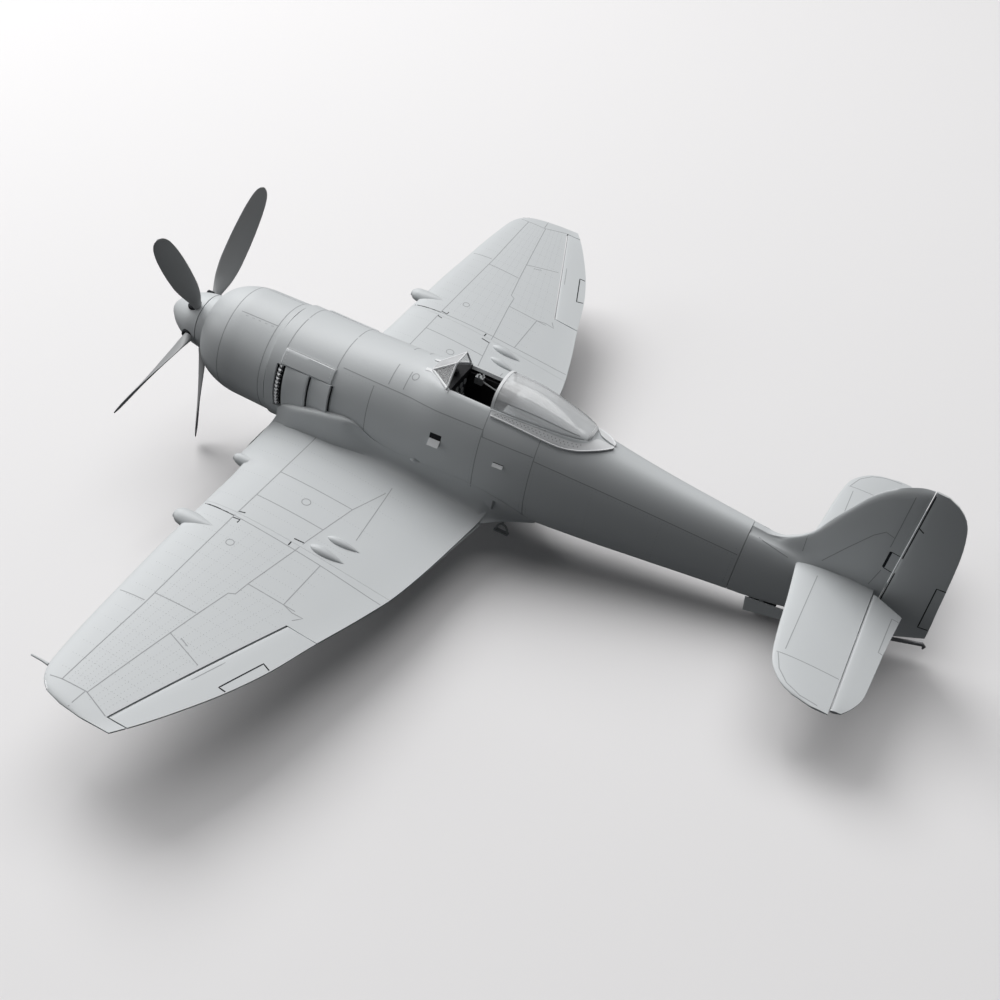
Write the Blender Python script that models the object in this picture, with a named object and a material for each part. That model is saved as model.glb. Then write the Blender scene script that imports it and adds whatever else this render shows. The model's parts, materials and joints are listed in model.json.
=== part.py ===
# Propeller plane model: naval single-seat fighter, 1/32 scale, standing tail-down.
# Working frame of the functions: millimetres, aircraft level, +X port wing, +Y aft, +Z up,
# origin at the spinner tip on the thrust line. place() turns it nose-up onto the ground in metres.
import math
import bpy
import bmesh
import numpy as np

for old in list(bpy.data.objects):
    bpy.data.objects.remove(old, do_unlink=True)

# ---------------------------------------------------------------- driving dimensions (mm, degrees)
NOSE_UP_DEG = 9.83          # ground attitude
GROUND_DROP = 66.5          # spinner tip above the ground, along the vertical
Y_MIDDLE = 165.256           # length midpoint on the ground
HALF_SPAN = 182.6
WALL = 1.2                  # moulded shell thickness
GAP = 0.3                   # clearance between neighbouring pieces
COWL_RADIUS = 23.1
COWL_FRONT, COWL_SHOULDER, COWL_REAR = 23.5, 42.0, 60.2
COWL_LIP = 14.0             # intake lip radius
BODY_FRONT, BODY_REAR = 60.6, 258.6
WING_CUT_FRONT, WING_CUT_REAR = 66.1, 163.1
SLOT_FRONT, SLOT_REAR = 64.4, 70.4
COCKPIT_FRONT, COCKPIT_REAR = 134.6, 157.0
DECK_Z = 27.3               # canopy sill height
FOLD_X = 79.0               # wing fold station
AILERON_IN, AILERON_OUT = 113.0, 178.0
PROP_Y, PROP_RADIUS, BLADES, BLADE_PHASE = 16.4, 60.9, 5, -10.4
STAB_Z = 13.6
CANOPY_FRONT, CANOPY_REAR = 152.5, 192.3
WHEEL_X, WHEEL_Y, WHEEL_RADIUS, WHEEL_FLATS = 63.5, 80.0, 13.4, 24
TAIL_WHEEL_Y, TAIL_WHEEL_RADIUS, TAIL_WHEEL_FLATS = 274.0, 5.5, 20

# section table: station, half width, top, bottom
BODY = [(60.6, 23.5, 23.5, -23.5), (72.0, 23.0, 23.8, -23.6), (90.0, 21.9, 24.8, -23.9),
        (105.0, 20.9, 26.0, -24.0), (121.0, 20.0, 27.4, -24.0), (128.0, 19.6, 29.3, -24.0),
        (134.6, 19.2, 30.8, -23.9), (150.0, 18.2, 31.2, -23.6), (165.0, 17.1, 31.0, -23.1),
        (175.0, 16.2, 30.2, -22.6), (185.0, 15.2, 28.5, -22.0), (194.0, 14.3, 27.0, -21.3),
        (200.0, 13.7, 25.8, -20.8), (225.0, 11.2, 22.4, -18.2), (258.6, 8.1, 19.3, -14.6),
        (270.0, 7.1, 18.4, -13.6), (290.0, 5.0, 16.4, -10.9), (310.0, 2.3, 14.2, -7.2)]
BODY_Y, BODY_W, BODY_T, BODY_B = (np.array(c) for c in zip(*BODY))
POWER = 2.2

DOWN = (0.0, math.sin(math.radians(NOSE_UP_DEG)), -math.cos(math.radians(NOSE_UP_DEG)))

PLASTIC = (0.62, 0.63, 0.64)
DARK = (0.035, 0.037, 0.04)

pieces = []


def place(p):
    """Level aircraft millimetres to standing metres."""
    a = math.radians(NOSE_UP_DEG)
    x, y, z = p
    return (x * 0.001, (math.cos(a) * y + math.sin(a) * z - Y_MIDDLE) * 0.001,
            (math.cos(a) * z - math.sin(a) * y + GROUND_DROP) * 0.001)


def emit(name, verts, faces, colour, rough=0.55, metal=0.0, pivot=None):
    pieces.append((name, verts, faces, colour, rough, metal, pivot))


def lerp(x, table):
    xs, ys = zip(*table)
    return float(np.interp(x, xs, ys))


def mirror(verts, sign):
    return [(sign * x, y, z) for x, y, z in verts]


def airfoil(t):
    """Thickness shape, 0 at the nose, 1 at its fullest."""
    t = min(max(t, 0.0), 1.0)
    return (0.2969 * math.sqrt(t) - 0.126 * t - 0.3516 * t * t + 0.2843 * t ** 3 - 0.1015 * t ** 4) / 0.1


# ---------------------------------------------------------------- mesh builders
def cell_shell(outer, inner, present):
    """Closed shell from two grids; present(i, j) says which cells are kept."""
    rows, cols = len(outer), len(outer[0])
    verts = [p for row in outer for p in row] + [p for row in inner for p in row]
    half = rows * cols

    def keep(i, j):
        return 0 <= i < rows - 1 and 0 <= j < cols - 1 and present(i, j)
    faces = []
    for i in range(rows - 1):
        for j in range(cols - 1):
            if not keep(i, j):
                continue
            a, b, c, d = i * cols + j, (i + 1) * cols + j, (i + 1) * cols + j + 1, i * cols + j + 1
            faces.append((a, b, c, d))
            faces.append((d + half, c + half, b + half, a + half))
            for other, (p, q) in (((i, j - 1), (b, a)), ((i + 1, j), (c, b)),
                                  ((i, j + 1), (d, c)), ((i - 1, j), (a, d))):
                if not keep(*other):
                    faces.append((q, p, p + half, q + half))
    used = sorted({k for f in faces for k in f})
    index = {k: n for n, k in enumerate(used)}
    return [verts[k] for k in used], [tuple(index[k] for k in f) for f in faces]


def solid(rings):
    """Closed solid lofted through rings of equal count."""
    n = len(rings[0])
    verts = [p for ring in rings for p in ring]
    faces = []
    for i in range(len(rings) - 1):
        for j in range(n):
            k = (j + 1) % n
            faces.append((i * n + j, i * n + k, (i + 1) * n + k, (i + 1) * n + j))
    faces.append(tuple(range(n))[::-1])
    faces.append(tuple(range((len(rings) - 1) * n, len(rings) * n)))
    return verts, faces


def lathe(profile, centre, axis, n=32, ring=False, facet=None):
    """Turn (along, radius) points about an axis; ring=True closes the profile on itself.
    facet is a direction that one flat of the turned polygon faces."""
    ax = np.array(axis, float)
    ax /= np.linalg.norm(ax)
    side = np.cross(ax, (0.0, 0.0, 1.0) if abs(ax[2]) < 0.9 else (0.0, 1.0, 0.0))
    side /= np.linalg.norm(side)
    phase = 0.0
    if facet is not None:
        side, phase = np.array(facet, float), math.pi / n
    up = np.cross(ax, side)
    c = np.array(centre, float)
    verts, rows = [], []
    for along, r in profile:
        if r < 1e-6:
            rows.append([len(verts)] * n)
            verts.append(tuple(c + ax * along))
            continue
        rows.append(list(range(len(verts), len(verts) + n)))
        for k in range(n):
            a = phase + 2 * math.pi * k / n
            verts.append(tuple(c + ax * along + (side * math.cos(a) + up * math.sin(a)) * r))
    faces = []
    pairs = list(zip(rows[:-1], rows[1:])) + ([(rows[-1], rows[0])] if ring else [])
    for lo, hi in pairs:
        for k in range(n):
            f = [lo[k], lo[(k + 1) % n], hi[(k + 1) % n], hi[k]]
            f = [v for m, v in enumerate(f) if v not in f[:m]]
            if len(f) > 2:
                faces.append(tuple(f))
    return verts, faces


def tube(path, radii, n=10):
    """Round bar along a path of points, one radius per point."""
    pts = [np.array(p, float) for p in path]
    rings = []
    ref = np.array((0.31, 0.87, 0.39))
    for i, p in enumerate(pts):
        d = pts[min(i + 1, len(pts) - 1)] - pts[max(i - 1, 0)]
        d /= np.linalg.norm(d)
        side = np.cross(d, ref)
        side /= np.linalg.norm(side)
        up = np.cross(d, side)
        rings.append([tuple(p + (side * math.cos(2 * math.pi * k / n) + up * math.sin(2 * math.pi * k / n))
                            * radii[i]) for k in range(n)])
    return solid(rings)


def box(x0, x1, y0, y1, z0, z1):
    ring = [(x0, y0), (x1, y0), (x1, y1), (x0, y1)]
    return solid([[(x, y, z0) for x, y in ring], [(x, y, z1) for x, y in ring]])


# ---------------------------------------------------------------- fuselage
def body_row(y):
    return (float(np.interp(y, BODY_Y, BODY_W)), float(np.interp(y, BODY_Y, BODY_T)),
            float(np.interp(y, BODY_Y, BODY_B)))


def body_point(y, theta, inset=0.0, deck=True):
    """Point on the fuselage section at angle theta (-90 keel, 90 spine), port side."""
    w, top, bottom = body_row(y)
    mid = 0.5 * (top + bottom) - 1.5 * (y > 100) * min(1.0, (y - 100) / 30.0)
    a = math.radians(theta)
    x = (w - inset) * max(math.cos(a), 0.0) ** (2 / POWER)
    s = abs(math.sin(a)) ** (2 / POWER)
    z = mid + s * (top - mid - inset) if a > 0 else mid - s * (mid - bottom - inset)
    if deck and 121.0 <= y <= 194.0:
        z = min(z, DECK_Z - inset)
    return max(x, GAP / 2), y, z


def theta_at_z(y, z):
    lo, hi = -90.0, 90.0
    for _ in range(40):
        m = 0.5 * (lo + hi)
        if body_point(y, m, deck=False)[2] < z:
            lo = m
        else:
            hi = m
    return 0.5 * (lo + hi)


def theta_at_x(y, x):
    lo, hi = 0.0, 90.0
    for _ in range(40):
        m = 0.5 * (lo + hi)
        if body_point(y, m, deck=False)[0] > x:
            lo = m
        else:
            hi = m
    return 0.5 * (lo + hi)


def fillet_z(y):
    """Height where the wing root meets the fuselage side."""
    return lerp(y, [(60, -14.0), (68, -12.5), (80, -9.6), (95, -8.3), (120, -9.2), (145, -12.0), (166, -15.5)])


def fuselage_half(name, sign):
    ys = [BODY_FRONT, SLOT_FRONT, WING_CUT_FRONT, SLOT_REAR, 80, 90, 100, 110, 121, 128, COCKPIT_FRONT,
          142, 150, COCKPIT_REAR, WING_CUT_REAR, 172, 180, 187, 194, 202, 212, 225, 242, BODY_REAR]
    spans = (5, 1, 5, 4, 3)
    outer, inner = [], []
    for y in ys:
        marks = [-90.0, theta_at_z(y, fillet_z(y) + 0.2), theta_at_z(y, -6.5), theta_at_z(y, 13.0),
                 theta_at_x(y, 9.4 if 121 <= y <= 190 else 0.42 * body_row(y)[0]), 90.0]
        if y > 200:
            marks = list(np.linspace(-90, 90, 6))
        thetas = [marks[0]]
        for m, count in enumerate(spans):
            thetas += [marks[m] + (marks[m + 1] - marks[m]) * k / count for k in range(1, count + 1)]
        outer.append([body_point(y, t) for t in thetas])
        inner.append([body_point(y, t, WALL) for t in thetas])
    a, b, c, d = 5, 6, 11, 15

    def present(i, j):
        y = 0.5 * (ys[i] + ys[i + 1])
        if WING_CUT_FRONT < y < WING_CUT_REAR and j < a:
            return False
        if SLOT_FRONT < y < SLOT_REAR and b <= j < c:
            return False
        return not (COCKPIT_FRONT < y < COCKPIT_REAR and j >= d)
    verts, faces = cell_shell(outer, inner, present)
    emit(name, mirror(verts, sign), faces, PLASTIC)


def fin_top(y):
    return lerp(y, [(269, 18.0), (274.3, 22.4), (279.7, 28), (283.8, 36.8), (288, 45), (292.2, 52.5),
                    (296.9, 58.1), (302.1, 62.0), (307.8, 64.4), (311.4, 64.8)])


def fin_half(y, z):
    nose = lerp(z, [(18, 269), (28, 279.7), (45, 288), (58.1, 296.9), (64.4, 307.8)])
    full = lerp(z, [(14, 2.0), (64, 1.1)])
    return 0.35 + full * airfoil((y - nose) / max(331 - nose, 5.0)) * 0.85


def tail_section():
    """Rear cone with the fin moulded on, pocketed for the tail wheel."""
    rings = []
    for y in (259.0, 264, 269, 274.3, 279.7, 283.8, 288, 292.2, 296.9, 302.1, 306.5, 310.0):
        w, top, bottom = body_row(y)
        crest = max(fin_top(y), top + 0.5)
        port = [body_point(y, t) for t in np.linspace(-84, 66, 9)]
        base = port[-1][2]
        rise = []
        for f in (0.12, 0.3, 0.5, 0.72, 0.9, 1.0):
            z = base + f * (crest - base)
            rise.append((min(fin_half(y, z), port[-1][0] * 0.98) if f < 1 else 0.35, y, z))
        side = [(x, y, z) for x, y, z in port] + rise
        rings.append(side + [(-x, y, z) for x, y, z in side[::-1]])
    verts, faces = solid(rings)
    emit("tail_section", verts, faces, PLASTIC)


# ---------------------------------------------------------------- wing surfaces
NOSE_LINE = [(0, 66.4), (18, 66.4), (20, 65.2), (45, 66.4), (48.6, 66.8), (51.6, 70.6), (78.7, 72.1),
             (84.8, 72.1), (86.8, 67.8), (92.4, 67.8), (94.8, 72.6), (107, 73.2), (131, 74.9), (148, 76.2),
             (162, 77.7), (170, 78.9), (175.5, 81.1), (179.8, 86.0), (181.6, 92.2), (182.6, 100.0)]
TAIL_LINE = [(0, 162.8), (18, 162.0), (28.6, 160.6), (62, 156.4), (74.3, 154.3), (93.6, 149.4),
             (115.2, 142.9), (132.8, 138), (149, 131.6), (163, 124.4), (175.6, 116.9), (182.6, 112.0)]
UPPER = [(20, 6.3), (50, 5.2), (80, 4.1), (130, 2.9), (170, 1.8), (180, 1.1), (182.6, 0.8)]
LOWER = [(20, 6.8), (50, 5.6), (80, 4.4), (130, 3.0), (170, 1.9), (180, 1.2), (182.6, 0.9)]


def wing_chord_z(x, y):
    x = abs(x)
    nose_z = -13.0 + (x - 80.6) * 0.0564
    slope = -0.05 * min(1.0, max(0.0, 1.0 - (x - 80) / 100.0))
    return nose_z + slope * (y - 72.0)


def wing_height(x, y, upper):
    """Distance of the outer skin from the chord plane."""
    x = abs(x)
    nose, tail = lerp(x, NOSE_LINE), lerp(x, TAIL_LINE)
    full = lerp(x, UPPER if upper else LOWER)
    h = full * airfoil((y - nose) / (tail - nose))
    blunt = 1.9 if 85.5 < x < 94.0 and y < 74 else 0.42
    return max(h, blunt)


def rear_line(x):
    """Flap hinge line inboard, aileron shroud line outboard."""
    x = abs(x)
    if x < 112.6:
        return lerp(x, [(0, 142.4), (20, 139.8), (79, 131.9), (112.6, 128.2)])
    return 107.6 + 0.359 * (178.4 - min(x, 178.4))


CHORD_STEPS = (0.0, 0.015, 0.07, 0.17, 0.33, 0.53, 0.77, 1.0)


def wing_columns(x):
    nose, tail, mid = lerp(abs(x), NOSE_LINE), lerp(abs(x), TAIL_LINE), rear_line(x)
    ys = [nose + f * (mid - nose) for f in CHORD_STEPS]
    return ys + [mid + f * (tail - mid) for f in (0.55, 1.0)]


def root_x(y):
    return body_point(y, theta_at_z(y, fillet_z(y)))[0] + GAP


def wing_skin(name, stations, upper, sign, hollow, present, root=False):
    outer, inner = [], []
    s = 1 if upper else -1
    for n, x in enumerate(stations):
        row_o, row_i = [], []
        for y in wing_columns(x):
            px = x
            h = wing_height(x, y, upper)
            zc = wing_chord_z(x, y)
            if root:
                start = root_x(min(y, 163.0))
                px = start + (x - 20.0) / (FOLD_X - GAP - 20.0) * (FOLD_X - GAP - start)
                lift = max(0.0, fillet_z(y) - (zc + h)) * {0: 1.0, 1: 0.36, 2: 0.08}.get(n, 0.0)
                h = h + lift
            thin = max(h - WALL, GAP / 2) if hollow(n, x) else GAP / 2
            row_o.append((px, y, zc + s * h))
            row_i.append((px, y, zc + s * thin))
        outer.append(row_o)
        inner.append(row_i)
    verts, faces = cell_shell(outer, inner, present)
    emit(name, mirror(verts, sign), faces, PLASTIC, pivot=None if root else ("fold", sign))


def inner_wing_upper(name, sign):
    xs = [20, 23.5, 28, 38, 48.6, 51.6, 62, 76.5, 77.2, FOLD_X - GAP]
    wing_skin(name, xs, True, sign, lambda n, x: 0 < n and x < 77, lambda i, j: True, root=True)


def inner_wing_lower():
    """One piece from fold to fold, carrying the belly."""
    half = [0, 6, 12, 17, 21, 26, 38, 48.6, 51.6, 62, 76.5, 77.2, FOLD_X - GAP]
    xs = [-x for x in half[:0:-1]] + half
    outer, inner = [], []
    for x in xs:
        row_o, row_i = [], []
        for y in wing_columns(x):
            zc = wing_chord_z(x, y)
            low = zc - wing_height(max(abs(x), 20), y, False)
            t = min(abs(x) / 24.0, 1.0)
            t = t * t * (3 - 2 * t)
            keel = body_row(y)[2]
            z = keel * (1 - t) + low * t
            flat = abs(x) > 77
            top = zc - GAP / 2 if flat else min(z + WALL, zc - GAP / 2)
            row_o.append((x, y, z))
            row_i.append((x, y, top))
        outer.append(row_o)
        inner.append(row_i)
    step = len(CHORD_STEPS) - 1

    def present(i, j):
        mid = 0.5 * abs(xs[i] + xs[i + 1])
        return j < step or mid < 21.0
    verts, faces = cell_shell(outer, inner, present)
    emit("inner_wing_lower", verts, faces, PLASTIC)


def outer_wing(name, upper, sign):
    xs = [FOLD_X + GAP, 80.8, 81.5, 84.8, 86.8, 92.4, 94.8, 105, 112.4, AILERON_IN, 125, 140, 155, 166,
          172, AILERON_OUT, 178.3, 180.2, 181.6, HALF_SPAN]
    step = len(CHORD_STEPS) - 1

    def present(i, j):
        mid = 0.5 * (xs[i] + xs[i + 1])
        if j < step:
            return True
        return upper and mid < 112.4 or 112.4 < mid < 112.8 or mid > AILERON_OUT + 0.2
    wing_skin(name, xs, upper, sign, lambda n, x: 81.2 < x < 166, present)


def control_ring(nose, tail, half_nose, half_tail, up, reach):
    """Section of a control surface between its hinge centre and trailing edge."""
    n, t, u = np.array(nose, float), np.array(tail, float), np.array(up, float)
    d = (t - n) / np.linalg.norm(t - n)
    ring = []
    for a in (90, 50, 0, -50, -90):
        r = math.radians(a)
        ring.append(tuple(n - d * reach * math.cos(r) + u * half_nose * math.sin(r)))
    ring.append(tuple(t - u * half_tail))
    ring.append(tuple(t + u * half_tail))
    return ring


def aileron(name, sign):
    rings, reach = [], 1.5
    for x in (AILERON_IN + GAP, 125, 140, 155, 166, 172, AILERON_OUT - 0.1):
        y = rear_line(x) + 0.4 + reach
        zc = wing_chord_z(x, y)
        half = 0.5 * (wing_height(x, y, True) + wing_height(x, y, False))
        tail = lerp(x, TAIL_LINE)
        rings.append(control_ring((x, y, zc), (x, tail, wing_chord_z(x, tail)), half, 0.4, (0, 0, 1), reach))
    verts, faces = solid(rings)
    emit(name, mirror(verts, sign), faces, PLASTIC, pivot=("aileron", sign))


def flap(name, sign, x0, x1, key):
    rings = []
    for x in np.linspace(x0, x1, 4):
        front, tail = rear_line(x) + 0.4, lerp(x, TAIL_LINE) - 0.2
        ring = []
        for y in (front, 0.5 * (front + tail), tail):
            ring.append((x, y, wing_chord_z(x, y) - 0.45))
        for y in (tail, 0.5 * (front + tail), front):
            ring.append((x, y, wing_chord_z(x, y) - max(wing_height(x, y, False), 0.95)))
        rings.append(ring)
    verts, faces = solid(rings)
    emit(name, mirror(verts, sign), faces, PLASTIC, pivot=(key, sign))


# ---------------------------------------------------------------- tail surfaces
STAB_NOSE = [(0, 278.0), (23, 280.6), (40, 282.1), (53, 284.1), (60, 288.1), (64.3, 294.3), (65.8, 301.0)]
ELEV_TAIL = [(0, 320.2), (8, 319.7), (27, 318), (40.5, 317.2), (52.3, 316.4), (59.5, 313.8), (63.6, 311.0)]
STAB_REAR, ELEV_AXIS, ELEV_REACH = 307.2, 309.3, 1.6
RUDDER_AXIS, RUDDER_REACH = 312.3, 1.9


def tail_half(x):
    return lerp(x, [(5, 1.9), (50, 1.25), (62, 0.9), (66, 0.6)])


def stabiliser(name, sign):
    rings = []
    for x in (4, 14, 27, 40, 53, 60, 64.3, 65.8):
        nose = lerp(x, STAB_NOSE)
        ring = []
        top = [0.0, 0.03, 0.1, 0.25, 0.5, 1.0]
        for side, steps in ((1, top), (-1, top[::-1])):
            for f in steps:
                y = nose + f * (STAB_REAR - nose)
                base = body_point(y, theta_at_z(y, STAB_Z - 2.1))[0] + 0.5
                px = base + (x - 4.0) / 61.8 * (65.8 - base)
                h = max(0.35, tail_half(x) * airfoil(0.75 * f))
                ring.append((px, y, STAB_Z + side * h))
        rings.append(ring)
    verts, faces = solid(rings)
    emit(name, mirror(verts, sign), faces, PLASTIC)


def elevator(name, sign):
    rings = []
    for x, xt in ((4.6, 8.2), (14, 15), (27, 27), (40.5, 40.5), (52.3, 52.3), (59.5, 59.5), (63.6, 63.2)):
        rings.append(control_ring((x, ELEV_AXIS, STAB_Z), (xt, lerp(xt, ELEV_TAIL), STAB_Z),
                                  0.78 * tail_half(x), 0.3, (0, 0, 1), ELEV_REACH))
    verts, faces = solid(rings)
    emit(name, mirror(verts, sign), faces, PLASTIC, pivot=("elevator", sign))


def rudder():
    rings = []
    for z, zt, tail, half in ((-6.4, 2.0, 331.3, 1.5), (5, 8, 331.0, 1.8), (15.8, 15.8, 330.4, 1.8),
                              (28.6, 28.6, 329.3, 1.7), (43.5, 43.5, 327.9, 1.5), (53.5, 53.5, 325.7, 1.3),
                              (58.6, 57.8, 323.6, 1.1), (62.6, 62.0, 319.6, 0.8), (64.6, 64.4, 315.0, 0.5)):
        rings.append(control_ring((0, RUDDER_AXIS, z), (0, tail, zt), half, 0.35, (1, 0, 0), RUDDER_REACH))
    verts, faces = solid(rings)
    emit("rudder", verts, faces, PLASTIC, pivot=("rudder", 1))


# ---------------------------------------------------------------- nose
def cowl():
    shares = (0.0, 0.05, 0.15, 0.3, 0.5, 0.75, 1.0)
    outer = []
    for f in shares:
        swell = (1 - (1 - f) ** 1.8) ** (1 / 1.8)
        outer.append((COWL_FRONT + f * (COWL_SHOULDER - COWL_FRONT), COWL_LIP + swell * (COWL_RADIUS - COWL_LIP)))
    outer.append((COWL_REAR, 23.5))
    inner = [(y + (0.9 if r < 19 else 0.0), r - WALL) for y, r in outer[:0:-1]]
    profile = outer + inner
    verts, faces = lathe(profile, (0, 0, 0), (0, 1, 0), 36, ring=True)
    emit("cowl_ring", verts, faces, PLASTIC)


def engine():
    """Two-row radial block: one lobe per cylinder pair, running down to the reduction case."""
    rings = []
    for y, rim, core in ((56, 16.5, 12.5), (50, 20.8, 14.5), (43, 20.6, 14.5), (41.5, 15.5, 12.0),
                         (40, 20.0, 14.0), (34, 18.8, 13.6), (32.5, 12.0, 10.5), (28, 9.0, 9.0),
                         (24.6, 6.4, 6.4)):
        ring = []
        for k in range(54):
            a = 2 * math.pi * k / 54
            r = rim if k % 3 else core
            ring.append((r * math.cos(a), y, r * math.sin(a)))
        rings.append(ring)
    verts, faces = solid(rings)
    emit("engine", verts, faces, (0.2, 0.2, 0.21), 0.5, 0.3)


def exhaust(name, sign):
    """Stack of ten ejector stubs on one manifold."""
    rings = []
    top, bottom, count = 11.6, -5.4, 10
    pitch = (top - bottom) / count
    for k in range(count):
        for f, wide in ((0.04, 0), (0.16, 1), (0.84, 1), (0.96, 0)):
            z = top - (k + f) * pitch
            out = math.sqrt(max(23.4 ** 2 - z * z, 1.0)) - (0.2 if wide else 1.9)
            front = 64.9 + 0.1 * (top - z)
            rings.append([(out - 5.0, front - 0.6, z), (out, front, z), (out, front + 2.6, z),
                          (out - 5.0, front + 3.2, z)])
    verts, faces = solid(rings)
    emit(name, mirror(verts, sign), faces, (0.5, 0.5, 0.51), 0.5)


def propeller():
    verts, faces = lathe([(0.0, 0.0), (0.35, 1.6), (2.2, 4.2), (5.5, 7.3), (9.5, 9.7), (14.0, 11.3),
                          (18.2, 12.0), (18.2, 0.0)], (0, 0, 0), (0, 1, 0), 32)
    emit("spinner", verts, faces, PLASTIC, pivot=("prop", 1))
    verts, faces = lathe([(18.5, 0.0), (18.5, 12.0), (22.4, 12.3), (22.4, 0.0)], (0, 0, 0), (0, 1, 0), 32)
    emit("spinner_backplate", verts, faces, PLASTIC, pivot=("prop", 1))
    verts, faces = lathe([(22.7, 0.0), (22.7, 2.2), (24.3, 2.2), (24.3, 0.0)], (0, 0, 0), (0, 1, 0), 16)
    emit("propeller_shaft", verts, faces, (0.4, 0.4, 0.41), 0.4, 0.5, pivot=("prop", 1))
    table = ((12.5, 2.3, 2.2, 62), (15.5, 2.9, 1.6, 58), (20, 4.0, 0.95, 52), (28, 4.9, 0.75, 44),
             (38, 5.1, 0.6, 37), (48, 4.8, 0.5, 31), (55, 4.0, 0.42, 28), (59, 2.7, 0.36, 27), (60.9, 1.1, 0.3, 26))
    for b in range(BLADES):
        phi = math.radians(BLADE_PHASE + 72.0 * (b - 1))
        u = np.array((math.cos(phi), 0, math.sin(phi)))
        t = np.array((-math.sin(phi), 0, math.cos(phi)))
        rings = []
        for r, half, thick, pitch in table:
            p = math.radians(pitch)
            c = math.cos(p) * t + math.sin(p) * np.array((0, 1.0, 0))
            n = np.cross(u, c)
            centre = u * r + np.array((0, PROP_Y - 1.2, 0))
            rings.append([tuple(centre + c * half * math.cos(2 * math.pi * k / 12)
                                + n * thick * math.sin(2 * math.pi * k / 12)) for k in range(12)])
        verts, faces = solid(rings)
        emit("blade_%d" % (b + 1), verts, faces, (0.16, 0.165, 0.17), 0.5, pivot=("prop", 1))


# ---------------------------------------------------------------- cockpit
def arch_row(y, half, height, base, count=11, inset=0.0):
    row = []
    for k in range(count):
        a = math.pi * k / (count - 1)
        row.append(((half - inset) * math.cos(a), y, base + (height - inset) * math.sin(a) ** 0.8))
    return row


def canopy():
    outer, inner = [], []
    for y, half, height in ((CANOPY_FRONT, 10.2, 9.0), (158, 10.3, 9.3), (164, 10.2, 9.1), (170, 9.6, 8.2),
                            (176, 8.4, 6.8), (182, 6.5, 4.9), (187, 4.4, 3.1), (190.5, 2.6, 1.9),
                            (CANOPY_REAR, 1.5, 1.3)):
        outer.append(arch_row(y, half, height, DECK_Z + 0.4))
        inner.append(arch_row(y, half, height, DECK_Z + 0.4, inset=0.7))
    verts, faces = cell_shell(outer, inner, lambda i, j: True)
    emit("canopy", verts, faces, (0.85, 0.87, 0.88), 0.08, pivot=("canopy", 1))


def windscreen():
    z = DECK_Z + 0.3
    front = [(3.6, 124.0, z), (3.0, 123.8, z + 0.7), (-3.0, 123.8, z + 0.7), (-3.6, 124.0, z)]
    back = [(10.1, 134.0, z), (4.1, 134.0, 36.6), (-4.1, 134.0, 36.6), (-10.1, 134.0, z)]
    front_in = [(2.7, 125.0, z), (2.3, 125.4, z + 0.1), (-2.3, 125.4, z + 0.1), (-2.7, 125.0, z)]
    back_in = [(9.3, 134.0, z), (3.6, 134.0, 35.7), (-3.6, 134.0, 35.7), (-9.3, 134.0, z)]
    verts, faces = cell_shell([front, back], [front_in, back_in], lambda i, j: True)
    emit("windscreen", verts, faces, (0.85, 0.87, 0.88), 0.08)


def canopy_rail(name, sign):
    """Riveted strip along the foot of the canopy."""
    outer, inner = [], []
    for y, x in ((150.5, 11.0), (158, 11.2), (165, 11.1), (171, 10.3), (177, 8.9), (183, 6.9), (188, 4.6),
                 (193.2, 2.2), (197, 1.0), (200.5, 0.4)):
        wide = lerp(y, [(150, 1.7), (170, 2.0), (180, 3.0), (188, 3.9), (194, 3.6), (198, 2.0), (200.5, 0.9)])
        row_o, row_i = [], []
        for k in range(3):
            px = x + wide * k / 2
            base = body_point(y, theta_at_x(y, px))[2]
            row_o.append((px, y, base + 0.85))
            row_i.append((px, y, base + 0.3))
        outer.append(row_o)
        inner.append(row_i)
    verts, faces = cell_shell(outer, inner, lambda i, j: True)
    emit(name, mirror(verts, sign), faces, PLASTIC)


def cockpit():
    outer, inner = [], []
    for y in (132.0, 133.2, 155.8, 157.0):
        wall = y in (132.0, 157.0)
        path = [(9.0, 24.8), (9.0, 4.0), (4.5, 1.6), (-4.5, 1.6), (-9.0, 4.0), (-9.0, 24.8)]
        outer.append([(x, y, z) for x, z in path])
        inner.append([(x * 0.9, y, z + (0.0 if z > 20 else 1.0)) for x, z in path])
    verts, faces = cell_shell(outer, inner, lambda i, j: True)
    emit("cockpit_tub", verts, faces, DARK, 0.7)
    verts, faces = box(-7.2, 7.2, 133.4, 134.4, 9.0, 25.4)
    emit("instrument_panel", verts, faces, DARK, 0.7)
    prof = [(144.6, 6.2), (152.0, 6.2), (153.4, 20.0), (154.5, 20.0), (153.3, 5.0), (144.6, 5.0)]
    verts, faces = solid([[(x, y, z) for y, z in prof] for x in (-4.6, 4.6)])
    emit("seat", verts, faces, (0.3, 0.31, 0.32), 0.6)
    prof = [(155.0, 21.6), (156.2, 21.6), (157.0, 33.0), (156.0, 33.0)]
    verts, faces = solid([[(x * (1.0 if z < 27 else 0.72), y, z) for y, z in prof] for x in (-4.2, 4.2)])
    emit("headrest", verts, faces, (0.5, 0.5, 0.51), 0.6)
    verts, faces = tube([(0, 140.5, 3.0), (0, 140.0, 9.0), (0, 139.2, 15.5), (0, 138.8, 17.8)],
                        [0.55, 0.55, 0.55, 0.9], 8)
    emit("control_stick", verts, faces, (0.12, 0.12, 0.125), 0.6)


# ---------------------------------------------------------------- landing gear and fittings
def wheel_centre(x, y, radius, flats):
    """Centre of a wheel that stands on one flat of its tread at level station y."""
    lift = radius * math.cos(math.pi / flats)
    a = math.radians(NOSE_UP_DEG)
    z = (y * math.sin(a) - GROUND_DROP) / math.cos(a)
    return x, y - math.sin(a) * lift, z + math.cos(a) * lift


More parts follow.
